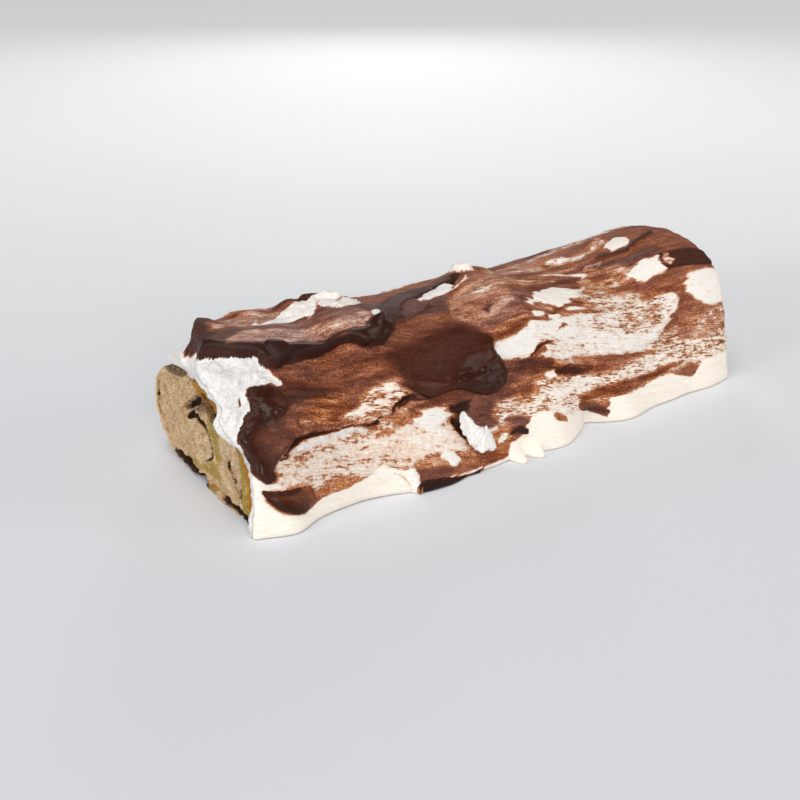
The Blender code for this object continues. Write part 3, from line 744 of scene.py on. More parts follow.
def unseen_dabs(seed: int = 7) -> tuple[Dab, ...]:
    """Scatter patches, bands and pools over the back of the log in the manner of the front.

    Args:
        seed: The seed of the random draws.

    Returns:
        The dabs.
    """
    draw = np.random.default_rng(seed)
    dabs = []
    for row, height in enumerate((132, 146, 160, 174, 188)):
        for middle in np.arange(12 + (row % 2) * 17, 320, 34):
            x, s = middle + draw.uniform(-9, 9), height + draw.uniform(-4.5, 4.5)
            half_x, half_s = draw.uniform(11, 24), draw.uniform(2.5, 6.2)
            spot = Spot(x, s, half_x, half_s, draw.uniform(-9, 5))
            looks = (
                {**WHITE, "film": -1.5, "grain": 0.8, "lift": 0.8, "chill_and_shade": 0.5},
                {**FLECKED, "edge": 1.5},
                {**DULL, "edge": 1.5},
                {**DARK, "depth": 1.2, "radius": 2.4, "edge": 0.9, "brushed": 0.5},
                {**BROWN, "film": 1.7, "bloom_and_sheen": 0.0, "edge": 1.5},
            )[draw.choice(5, p=(0.26, 0.26, 0.14, 0.18, 0.16))]
            dabs.append(Dab(spot, **looks))
    pools = (
        Stroke(((74, 159, 1.5), (86, 156, 6), (97, 151, 9.5), (107, 157, 5), (119, 161, 2))),
        Stroke(((216, 158, 2), (228, 164, 4.5), (240, 160, 9), (254, 166, 6), (266, 163, 1.5))),
    )
    return (*dabs, *(Dab(pool, depth=2.4, radius=4.0, **WET) for pool in pools))


DABS = (
    FEET + unseen_dabs() + FRONT_LOW + FRONT_MIDDLE + RIGHT_TOP + LEFT_BAND + CRACK + TOP_PLATE + TORN_PATCH
    + POOL + WHITE_PATCHES + PEAK
)


class Coverage:
    """What lies at many places of the coat while dabs are spread on it one after another.

    The brushed warp slides each place along the log by a row-wise ripple, so that the ends of a
    patch come out ragged along the brush strokes and its sides stay fairly clean.
    """

    def __init__(self, x: Array, s: Array) -> None:
        """Start with the plain brushed film everywhere, and work out the warp.

        Args:
            x, s: Places along the log, from its cut end, and up the coat.
        """
        self.x, self.s = x, s
        self.looks = {name: np.full(x.shape, value) for name, value in PLAIN.items()}
        self.depth, self.lift = np.zeros(x.shape), np.zeros(x.shape)
        self.slanted = s + STREAK_SLOPE * x
        rows = ripple(x * 55, self.slanted * 420, 11) + 0.6 * ripple(x * 120, self.slanted * 800, 12)
        self.warp_x = 2.4 * MM * rows + 1.0 * MM * cloud(x * 150, s * 150, 13, 3)
        self.warp_s = 0.8 * MM * cloud(x * 130, s * 190, 17, 3) - STREAK_SLOPE * self.warp_x

    def spread(self, dab: Dab, spare: float = 4 * MM) -> None:
        """Spread one dab over what lies there so far.

        Args:
            dab: The dab.
            spare: How far past the dab's reach places are still looked at.
        """
        x, s = self.x + self.warp_x * dab.brushed, self.s + self.warp_s * dab.brushed
        low, high = dab.shape.reach()
        near = (x > low[0] - spare) & (x < high[0] + spare) & (s > low[1] - spare) & (s < high[1] + spare)
        if not near.any():
            return
        x, s = x[near], s[near]
        inside, strength, edge = dab.shape.inside(x, s), dab.strength(x, s), dab.edge * MM
        stained = smooth(-edge, edge, inside + (0.6 * edge if dab.depth == 0.0 else 0.0)) * strength
        for name, looks in self.looks.items():
            value = getattr(dab, name)
            if value is not None:
                looks[near] += (value - looks[near]) * stained
        swell = dab.profile.rise(np.clip(inside / (dab.radius * MM), 0.0, 1.0)) * strength * MM
        if dab.depth is not None:
            old, left = self.depth[near], 1.0 - smooth(-edge, edge, inside) * strength
            self.depth[near] = np.maximum(old, dab.depth * swell) if dab.depth > 0 else old * left
        if dab.lift is not None:
            self.lift[near] += dab.lift * swell

    def settle(self) -> None:
        """Break the film up along the brush strokes, and roughen torn cream and brushed chocolate."""
        x, s, slanted, looks = self.x, self.s, self.slanted, self.looks
        streaks = 0.65 * cloud(x * 38, slanted * 230, 21, 3) + 0.35 * cloud(x * 150, slanted * 400, 25, 2)
        looks["film"] += looks["grain"] * 0.50 * streaks * (1.0 - 0.6 * looks["dots"])
        torn = 0.55 * cloud(x * 150, s * 170, 31, 4, 0.6) + 0.45 * cloud(x * 420, s * 480, 33, 3, 0.6)
        self.lift += looks["tear"] * MM * (torn - 0.35 * np.abs(cloud(x * 90, s * 90, 37, 3)))
        lumps = 0.60 * cloud(x * 32, s * 60, 41, 3)
        ridges = 0.42 * cloud(x * 26, slanted * 170, 43, 3) * np.clip(looks["film"], 0.3, 1.0)
        fine = 0.12 * cloud(x * 110, slanted * 480, 47, 2)
        calm = 1.0 - 0.75 * smooth(0.2 * MM, 1.2 * MM, self.depth)
        self.lift += MM * (lumps + (ridges + fine) * calm)
        self.depth *= 1.0 + 0.16 * cloud(x * 60, s * 90, 53, 3)


# The form of the log


@dataclass(frozen=True)
class LogForm:
    """The bare form of the log: an arch of cream on two feet, with lumps along it.

    The arch is a rounded box curve. Half its width times |cos|^0.8 and its height times |sin|^0.8
    give a section, whose height and feet swell by sums of bell curves along the log.
    """

    length: float = 0.320
    width: float = 0.120
    height: float = 0.0725
    power: float = 0.8
    foot_spread: float = 0.0035
    foot_sharpness: float = 4.0
    crown_bumps: Table = ((-138, 6, 30), (-87, 6.2, 24), (-105, -2.4, 10), (-52, -1.5, 12), (14, 5, 16),
                          (84, -3.4, 30), (150, 6.6, 30))
    front_lobes: Table = ((-144, 7.1, 13), (-76, 5.4, 18), (-58, 6, 18), (-30, 7.7, 22), (-4, 4, 18),
                          (18, 12.5, 19), (68, 8.3, 17), (86, 3.9, 24), (110, 4, 18), (144, 6.9, 20))
    back_lobes: Table = ((-126, 3, 14), (-82, 11.5, 22), (-30, 4.5, 16), (22, 10.5, 20), (70, 4, 14),
                         (118, 9.5, 24))
    waves: Table = ((41.0, 1.7, 0.4, 0.0011), (67.0, 3.1, 2.1, 0.0009), (23.0, 4.3, 4.0, 0.0008))

    def arch(self, angle: Array, half_width: Array, height: Array) -> tuple[Array, Array]:
        """Return y and z on the arch, from the front foot at angle 0 to the back foot at pi."""
        across, up = signed_power(np.cos(angle), self.power), np.abs(np.sin(angle)) ** self.power
        return -half_width * across, height * up

    def arc_table(self) -> tuple[Array, Array]:
        """Return matching angles and distances along the plain arch, from the front foot."""
        angle = np.linspace(0.0, math.pi, 721)
        y, z = self.arch(angle, self.width / 2, self.height)
        return angle, np.concatenate([[0.0], np.cumsum(np.hypot(np.diff(y), np.diff(z)))])

    def arc_length(self) -> float:
        """Return the distance from the front foot over the arch to the back foot."""
        return float(self.arc_table()[1][-1])

    def point(self, x: Array, s: Array) -> Array:
        """Return the points of the bare form.

        Args:
            x, s: Places along the log, from its middle, and up and over the arch.

        Returns:
            The points, with their coordinates in the last axis.
        """
        angles, distances = self.arc_table()
        angle = np.interp(s, distances, angles)
        rise = np.sin(angle)
        y, z = self.arch(angle, self.width / 2, self.height + bells(x, self.crown_bumps))
        lobes = np.where(y < 0, bells(x, self.front_lobes), bells(x, self.back_lobes))
        y = y + np.sign(y) * (self.foot_spread + lobes) * (1.0 - rise) ** self.foot_sharpness
        wave = sum(size * np.sin(p * x + q * angle + start) for p, q, start, size in self.waves)
        swell = 1.0 + wave * rise / (self.width / 2)
        return np.stack(np.broadcast_arrays(x, y * swell, z * swell), axis=-1)

    def frame(self, x: Array, s: Array, step: float = 0.4 * MM) -> tuple[Array, Array, Array]:
        """Return the points of the bare form, its outward directions and its directions up the arch.

        Args:
            x, s: Places along the log, from its middle, and up and over the arch.
            step: How far to either side the slopes are measured.

        Returns:
            Points, outward unit vectors and upward unit vectors.
        """
        inner = np.clip(s, 2 * step, self.arc_length() - 2 * step)
        along = self.point(x + step, inner) - self.point(x - step, inner)
        up = self.point(x, inner + step) - self.point(x, inner - step)
        return self.point(x, s), unit(np.cross(along, up)), unit(up)


@dataclass(frozen=True)
class RollForm:
    """The spiral of the rolled sponge, a small turn that grows into a large one and then hangs down.

    A turn is half width times |cos|^0.8 across and half height times |sin|^0.8 up, about its own
    middle, and the small turn's four sizes ease into the large turn's as the angle grows.
    """

    inner_turn: tuple[float, float, float, float] = (0.0230, 0.0175, -0.0010, 0.0220)
    outer_turn: tuple[float, float, float, float] = (0.0490, 0.0248, -0.0015, 0.0290)
    thickness: float = 0.0070
    sag: float = 1.2
    power: float = 0.8
    start: float = math.radians(70)
    end: float = math.radians(593)
    growth: tuple[float, float] = (math.radians(235), math.radians(350))
    hangs_after: float = math.radians(540)
    underside: float = math.radians(262)
    back_foot: float = math.radians(322)
    middle: tuple[float, float] = (-0.0015, 0.0240)

    def line(self, angle: Array) -> Array:
        """Return the points of the sponge's middle line.

        Args:
            angle: Angles of the spiral.

        Returns:
            Points with y and z in the last axis.
        """
        grown = smooth(*self.growth, angle)
        inner, outer = np.array(self.inner_turn)[:, None], np.array(self.outer_turn)[:, None]
        half_width, half_height, middle_y, middle_z = inner + (outer - inner) * grown
        across = signed_power(np.cos(np.minimum(angle, self.hangs_after)), self.power)
        up = signed_power(np.sin(angle), self.power)
        z = middle_z + half_height * np.where(up < 0, up * self.sag, up)
        return np.stack([middle_y + half_width * across, np.maximum(z, self.thickness / 2)], axis=-1)

    def side(self, first: float, last: float, count: int) -> Array:
        """Return points on the sponge's outer side, kept above the underside.

        Args:
            first, last: The angles of the spiral where the stretch starts and ends.
            count: How many points to return.

        Returns:
            Points with y and z in the last axis.
        """
        angle, step = np.linspace(first, last, count), math.radians(0.5)
        forward = unit(self.line(angle + step) - self.line(angle - step))
        out = np.stack([forward[:, 1], -forward[:, 0]], axis=-1)
        points = self.line(angle) + out * self.thickness / 2
        points[:, 1] = np.maximum(points[:, 1], 0.0)
        return points

    def edge(self, direction: Array) -> Array:
        """Return the roll's outer radius about its middle, in each direction across the section.

        Args:
            direction: Directions in radians, 0 towards +Y and a quarter turn up.

        Returns:
            Radii.
        """
        side = self.side(self.underside, self.end, 400)
        under = side[-1] + (side[0] - side[-1]) * np.linspace(0.0, 1.0, 60)[:, None]
        off = np.concatenate([side, under]) - np.array(self.middle)
        angle = np.arctan2(off[:, 1], off[:, 0])
        order = np.argsort(angle)
        return np.interp(direction, angle[order], np.hypot(off[order, 0], off[order, 1]), period=2 * math.pi)


# Mesh making


def stand_at(name: str, data: bpy.types.ID, at: Place = (0.0, 0.0, 0.0)) -> Thing:
    """Put a mesh, a light or a camera into the scene at a place.

    Args:
        name: The object's name.
        data: The mesh, light or camera.
        at: The place.

    Returns:
        The object.
    """
    thing = bpy.data.objects.new(name, data)
    thing.location = at
    bpy.context.scene.collection.objects.link(thing)
    return thing


def mesh_object(name: str, points: Array, quads: Array, polygons: Sequence[Array] = ()) -> Thing:
    """Make a smooth-shaded object at the origin from arrays.

    Args:
        name: The piece's name.
        points: The corners, with their three coordinates in the last axis.
        quads: The four corner numbers of each four-sided face.
        polygons: The corner numbers of any other faces.

    Returns:
        The object, linked into the scene.
    """
    corners = np.concatenate([quads.ravel(), *polygons]).astype(np.int32)
    totals = np.concatenate([np.full(len(quads), 4), [len(p) for p in polygons]]).astype(np.int32)
    mesh = bpy.data.meshes.new(name)
    mesh.vertices.add(points.size // 3)
    mesh.vertices.foreach_set("co", points.astype(np.float32).ravel())
    mesh.loops.add(len(corners))
    mesh.loops.foreach_set("vertex_index", corners)
    mesh.polygons.add(len(totals))
    mesh.polygons.foreach_set("loop_start", np.cumsum(totals, dtype=np.int32) - totals)
    mesh.polygons.foreach_set("loop_total", totals)
    mesh.update(calc_edges=True)
    mesh.validate()
    mesh.shade_smooth()
    return stand_at(name, mesh)


def paint(thing: Thing, values: dict[str, Array]) -> None:
    """Keep numbers on the corners of a mesh, for its material to read.

    Args:
        thing: The object.
        values: For each attribute's name, an array with a number for each corner.
    """
    for name, value in values.items():
        layer = thing.data.attributes.new(name, "FLOAT", "POINT")
        layer.data.foreach_set("value", np.ascontiguousarray(value, dtype=np.float32).ravel())


def lay_pattern(thing: Thing, name: str, u: Array, v: Array) -> None:
    """Give a mesh a UV map from two numbers for each corner.

    Args:
        thing: The object.
        name: The map's name.
        u, v: The numbers, in arrays that are spread to one shape.
    """
    layer = thing.data.uv_layers.new(name=name)
    corner = np.zeros(len(thing.data.loops), np.int32)
    thing.data.loops.foreach_get("vertex_index", corner)
    places = np.stack(np.broadcast_arrays(u, v), axis=-1).reshape(-1, 2)
    layer.data.foreach_set("uv", places[corner].astype(np.float32).ravel())


def fitted(values: Array, margin: float) -> Array:
    """Fit values between 0 and 1, less a margin at both ends."""
    return margin + (values - values.min()) / np.ptp(values) * (1.0 - 2 * margin)


def grid_quads(columns: int, rows: int, around: bool = False, ring: bool = False) -> Array:
    """Number the four-sided faces of a grid whose corners are stored column by column.

    Args:
        columns: How many columns of corners there are.
        rows: How many corners there are in a column.
        around: Whether the last column joins the first.
        ring: Whether each column's last corner joins its first.

    Returns:
        The corner numbers of each face.
    """
    first = np.arange(columns if around else columns - 1)[:, None]
    row = np.arange(rows if ring else rows - 1)[None, :]
    here, there, above = first * rows, (first + 1) % columns * rows, (row + 1) % rows
    return np.stack([here + row, there + row, there + above, here + above], axis=-1).reshape(-1, 4)


def uneven_steps(stops: Table, count: int) -> Array:
    """Place stations between two ends so that their spacing follows given relative sizes.

    Args:
        stops: Places and the relative spacing there.
        count: How many stations to make.

    Returns:
        The stations, from the first stop to the last.
    """
    at, spacing = np.array(stops).T
    fine = np.linspace(at[0], at[-1], 4000)
    density = 1.0 / np.interp(fine, at, spacing)
    share = np.concatenate([[0.0], np.cumsum((density[1:] + density[:-1]) / 2)])
    return np.interp(np.linspace(0.0, 1.0, count), share / share[-1], fine)


def stand(points: Array) -> Array:
    """Keep points, the last axis's third number their height, above the floor and the rows' ends on it."""
    points[..., 2] = np.maximum(points[..., 2], 0.0)
    points[:, [0, -1], 2] = 0.0
    return points


# Cream and chocolate


@dataclass
class Coat:
    """The cream over the roll, with its thin brown film, and the thick chocolate that lies on it."""

    form: LogForm = field(default_factory=LogForm)
    roll: RollForm = field(default_factory=RollForm)
    cream_grid: tuple[int, int] = (354, 244)
    chocolate_grid: tuple[int, int] = (470, 300)
    cap_columns: int = 16
    inner_columns: int = 4
    inner_inset: float = 0.012
    rim_radius: float = 0.0042
    rim_drop: float = 0.0026
    end_tear: float = 0.0009
    face_gap: float = 0.0016
    open_back: float = 0.0105
    foot_tuck: float = 0.0014
    foot_radius: float = 0.0030
    sag: float = 0.38
    film_edge: float = 0.00012
    rim_film: float = 1.6
    wall_film: float = 2.7
    buried: float = 0.00045

    def end_reach(self, s: Array, end: End) -> Array:
        """Return how far the cream stands out past the nominal end, at each distance up the coat.

        The reach is read from a table, softened over a few millimetres, and roughened by noise.

        Args:
            s: Distances up and over the arch.
            end: Which end.

        Returns:
            Lengths in metres.
        """
        at, reach = np.array(END_REACH[end]).T
        soft = sum(np.interp(s / MM + step, at, reach) for step in (-2.5, 0.0, 2.5)) / 3.0
        return soft * MM + self.end_tear * cloud(s * 130, s * 0 + 2.0 + end.value, 61, 3)

    def past_ends(self, x: Array, s: Array) -> tuple[Array, Array]:
        """Return how far each place lies inside the near rim and inside the far rim."""
        half = self.form.length / 2
        return x + half + self.end_reach(s, End.NEAR), half + self.end_reach(s, End.FAR) - x

    def places(self, grid: tuple[int, int]) -> tuple[Array, Array]:
        """Lay out a grid of places, finer at the near end and on the front.

        Args:
            grid: How many stations along the log, and how many up and over it.

        Returns:
            x and s of each place.
        """
        half = self.form.length / 2
        station = uneven_steps(((-half, 1.0), (-0.02, 1.1), (0.07, 1.5), (half, 1.6)), grid[0])[:, None]
        over = ((0.0, 1.0), (0.125, 1.05), (0.15, 1.6), (self.form.arc_length(), 1.7))
        over = uneven_steps(over, grid[1])[None, :]
        near = 1.0 - smooth(-half, -half + 0.022, station)
        far = smooth(half - 0.022, half, station)
        x = station - near * self.end_reach(over, End.NEAR) + far * self.end_reach(over, End.FAR)
        return x, np.broadcast_to(over, x.shape)

    def cover(self, x: Array, s: Array) -> Coverage:
        """Spread every dab over a set of places.

        Args:
            x, s: Places along the log, from its middle, and up and over the arch.

        Returns:
            What lies at each place.
        """
        coverage = Coverage(x + self.form.length / 2, s)
        for dab in DABS:
            coverage.spread(dab)
        coverage.settle()
        return coverage

    def surface(self, x: Array, s: Array, lift: Array, on_top: Array) -> Array:
        """Return the points of the coat, raised along the bare form's outward direction.

        The rim of each end and each foot are rounded off by a quarter circle, the front foot
        is drawn in or runs out in tongues, and what lies on top slides down the slope by a share
        of its own depth, so that its lower edge hangs over.

        Args:
            x, s: Places along the log and up and over the arch.
            lift: How much the cream is raised there.
            on_top: How much higher than the cream each point is.

        Returns:
            The points.
        """
        base, out, up = self.form.frame(x, s)
        rim = 1.0 - np.clip(np.minimum(*self.past_ends(x, s)) / self.rim_radius, 0.0, 1.0)
        under = 1.0 - np.clip(np.minimum(s, self.form.arc_length() - s) / self.foot_radius, 0.0, 1.0)
        for drop, share in ((self.rim_drop, rim), (self.foot_tuck, under)):
            lift = lift - drop * (1.0 - np.sqrt(1.0 - share**2))
        slide = self.sag * np.clip(on_top, 0.0, None)
        points = base + out * (lift + on_top)[..., None] - up * slide[..., None]
        from_end = x + self.form.length / 2
        inset = bells(from_end, FOOT_INSETS) * (1.0 - smooth(0.0, 0.016, s))
        points[..., 1] += inset - bells(from_end, FOOT_TONGUES, 4) * (1.0 - smooth(0.0, 0.0075, s))
        return stand(points)

    def roll_side(self, rim: Array) -> Array:
        """Return the place on the roll that faces each point of the cream's rim.

        Args:
            rim: Points of the rim.

        Returns:
            y and z of the places.
        """
        side = self.roll.side(self.roll.end, self.roll.back_foot, 300)
        side = np.concatenate([[[side[0, 0], 0.0]], side, [[side[-1, 0], 0.0]]])
        middle = self.roll.middle[0]
        turn, wanted = (np.unwrap(np.arctan2(z, y - middle)) for y, z in (side.T, rim[:, 1:].T))
        order = np.argsort(turn)
        return np.stack([np.interp(wanted, turn[order], side[order, k]) for k in (0, 1)], axis=-1)

    def cap_shares(self) -> Array:
        """Return the share of the way from the rim to the roll of each column of a cap."""
        return (np.arange(1, self.cap_columns + 1) / self.cap_columns)[:, None]

    def cap(self, outer: Array, s: Array, end: End) -> Array:
        """Close the cream's end with a torn lip that runs from its rim down over the roll's edge.

        Each point goes from the rim to the roll in a straight line seen along the log, and eases
        from the rim's reach to the cut face over half of the way, about a share that a table gives.
        A squared sine wave and torn lumps stand out from it.

        Args:
            outer: The end column of the coat's outside.
            s: Distances up and over the arch.
            end: Which end.

        Returns:
            The columns of the cap, from the rim inwards.
        """
        share = self.cap_shares()
        roll = self.roll_side(outer)
        ragged = 1.0 + 0.45 * cloud(s * 190, s * 0 + 5.1, 71, 3)
        roll = roll + unit(np.array(self.roll.middle) - roll) * (bells(s, END_HANG[end]) * ragged)[:, None]
        gap = self.face_gap + (self.open_back * smooth(0.146, 0.156, s) if end is End.NEAR else 0.0)
        face = end.value * (self.form.length / 2 - gap)
        across = outer[:, 1:] + (roll - outer[:, 1:]) * share[..., None]
        torn = cloud(across[..., 0] * 170, across[..., 1] * 170, 73, 4, 0.6)
        wave = np.sin(math.pi * share)
        out = (0.0008 + bells(s, END_STAND[end])) * wave**2 + 0.0012 * torn * wave
        eased = smooth(-0.20, 0.20, share - np.interp(s / MM, *np.array(END_STEP[end]).T))
        x = outer[:, 0] + (face - outer[:, 0]) * eased + end.value * out
        return stand(np.concatenate([x[..., None], across], axis=-1))

    def wrapped(self, s: Array, end: End) -> Array:
        """Return how much of the rim's own look each point of an end's lip keeps, from the rim inwards."""
        ragged = 1.0 + 0.25 * cloud(s * 160, s * 0 + 4.0, 75, 3)
        reach = np.interp(s / MM, *np.array(END_WRAP[end]).T) * ragged
        return 1.0 - smooth(-0.06, 0.06, self.cap_shares() - reach)

    def lay_patterns(self, thing: Thing, x: Array, s: Array, used: Array) -> None:
        """Lay the brush strokes and the OFBake sheet over a piece.

        Args:
            thing: The piece.
            x, s: Places along the log and up the coat.
            used: Which of the places the piece's corners have, in order.
        """
        for name, u, v in (("brush", x, s), ("OFBake", fitted(x, 0.004), fitted(s, 0.004))):
            u, v = np.broadcast_arrays(u, v)
            lay_pattern(thing, name, u.ravel()[used], v.ravel()[used])

    def make_cream(self) -> Thing:
        """Make the cream: its outside, a torn lip at each end, and its inside against the roll.

        Returns:
            The closed piece.
        """
        x, s = self.places(self.cream_grid)
        coverage = self.cover(x, s)
        outer = self.surface(x, s, coverage.lift, np.zeros(x.shape))
        side = self.roll_side(outer[0])
        depth = np.linspace(1.0, -1.0, self.inner_columns) * (self.form.length / 2 - self.inner_inset)
        inner = stand(np.stack([np.column_stack([np.full(len(side), at), side]) for at in depth]))
        near_cap, far_cap = self.cap(outer[0], s[0], End.NEAR), self.cap(outer[-1], s[0], End.FAR)
        columns = np.concatenate([outer, far_cap, inner, near_cap[::-1]])
        count, rows = columns.shape[:2]
        foot = np.arange(count) * rows
        quads = grid_quads(count, rows, around=True)
        thing = mesh_object("cream", columns, quads, [foot[::-1], foot + rows - 1])
        bare = np.zeros((self.inner_columns, rows))
        kept = np.concatenate([self.wrapped(s[0], End.FAR), bare, self.wrapped(s[0], End.NEAR)[::-1]])
        on_far = np.arange(len(kept))[:, None] < len(kept) / 2
        white = {"film": -2.0, "grain": 0.1, "bloom_and_sheen": 0.0, "gloss": 0.3, "chill_and_shade": 0.9, "dots": 0.5}
        values = {"thick": np.zeros(columns.shape[:2])}
        for name, value in white.items():
            look = coverage.looks[name]
            rim = np.where(on_far, look[-1], look[0])
            values[name] = np.concatenate([look, value + (rim - value) * kept])
        paint(thing, values)
        along = np.concatenate([x, x[-1:] + np.linspace(0.0, 0.04, len(kept))[:, None]])
        self.lay_patterns(thing, along, s[:1], np.arange(along.size))
        return thing

    def make_chocolate(self) -> Thing:
        """Make the thick chocolate: a closed sheet wherever it is deeper than the film.

        Its underside is buried in the cream, and its rim dips under the cream's surface.

        Returns:
            The piece.
        """
        x, s = self.places(self.chocolate_grid)
        coverage = self.cover(x, s)
        looks = coverage.looks
        depth = coverage.depth * smooth(0.0002, 0.0030, np.minimum(*self.past_ends(x, s)))
        deep = depth > self.film_edge
        top = self.surface(x, s, coverage.lift, np.where(deep, depth, depth - 2.5 * self.film_edge))
        bottom = self.surface(x, s, coverage.lift, np.full(x.shape, -self.buried))
        cells = deep[:-1, :-1] | deep[1:, :-1] | deep[1:, 1:] | deep[:-1, 1:]
        quads, used = sheet_quads(close_corners(cells))
        thing = mesh_object("chocolate", np.stack([top, bottom]).reshape(-1, 3)[used], quads)
        rim = 1.0 - smooth(0.1 * MM, 0.7 * MM, depth)
        slopes = (np.gradient(depth, axis=k) / np.gradient(at, axis=k) for k, at in enumerate((x, s)))
        steep = np.hypot(*slopes)
        wall = smooth(0.25, 0.6, steep) * smooth(0.9 * MM, 1.6 * MM, greatest_near(depth))
        looks["film"] = np.maximum(looks["film"], np.maximum(self.rim_film * rim, self.wall_film * wall))
        looks["grain"] = looks["grain"] * (1.0 - 0.8 * np.maximum(rim, wall))
        looks["thick"] = depth / MM
        used = used % x.size
        paint(thing, {name: look.ravel()[used] for name, look in looks.items() if name != "tear"})
        self.lay_patterns(thing, x, s, used)
        return thing


def greatest_near(values: Array, reach: int = 4) -> Array:
    """Return the greatest of the values within a few steps along the grid's second axis."""
    padded = np.pad(values, ((0, 0), (reach, reach)), mode="edge")
    return np.max([padded[:, k:k + values.shape[1]] for k in range(2 * reach + 1)], axis=0)


def close_corners(cells: Array) -> Array:
    """Fill cells until no two meet at a corner only, so that the sheet's rim is one clean line.

    Args:
        cells: Which cells of a grid are filled.

    Returns:
        The filled cells, with a clear border.
    """
    inner = np.zeros(cells.shape, bool)
    inner[1:-1, 1:-1] = True
    cells = cells & inner
    for _ in range(40):
        here, right, above, across = cells[:-1, :-1], cells[1:, :-1], cells[:-1, 1:], cells[1:, 1:]
        rising = here & across & ~right & ~above
        falling = right & above & ~here & ~across
        cells[1:, :-1] |= rising
        cells[:-1, :-1] |= falling
    return cells & inner


def sheet_quads(cells: Array) -> tuple[Array, Array]:
    """Number the faces of a closed sheet over some cells: its top, its underside and its rim.

    Args:
        cells: Which cells the sheet covers.

    Returns:
        The corner numbers of each face, counted among the corners in use, and which of the
        corners of both grids, top and then underside, are in use.
    """
    rows = cells.shape[1] + 1
    under = (cells.shape[0] + 1) * rows
    i, j = np.nonzero(cells)
    a = i * rows + j
    b, c, d = a + rows, a + rows + 1, a + 1
    faces = [np.stack([a, b, c, d], axis=-1), under + np.stack([a, d, c, b], axis=-1)]
    padded = np.pad(cells, 1)
    sides = ((i + 1, j, a, b), (i + 2, j + 1, b, c), (i + 1, j + 2, c, d), (i, j + 1, d, a))
    for beside_i, beside_j, start, end in sides:
        is_open = ~padded[beside_i, beside_j]
        p, q = start[is_open], end[is_open]
        faces.append(np.stack([q, p, under + p, under + q], axis=-1))
    used, numbers = np.unique(np.concatenate(faces), return_inverse=True)
    return numbers.reshape(-1, 4), used


# The cut roll


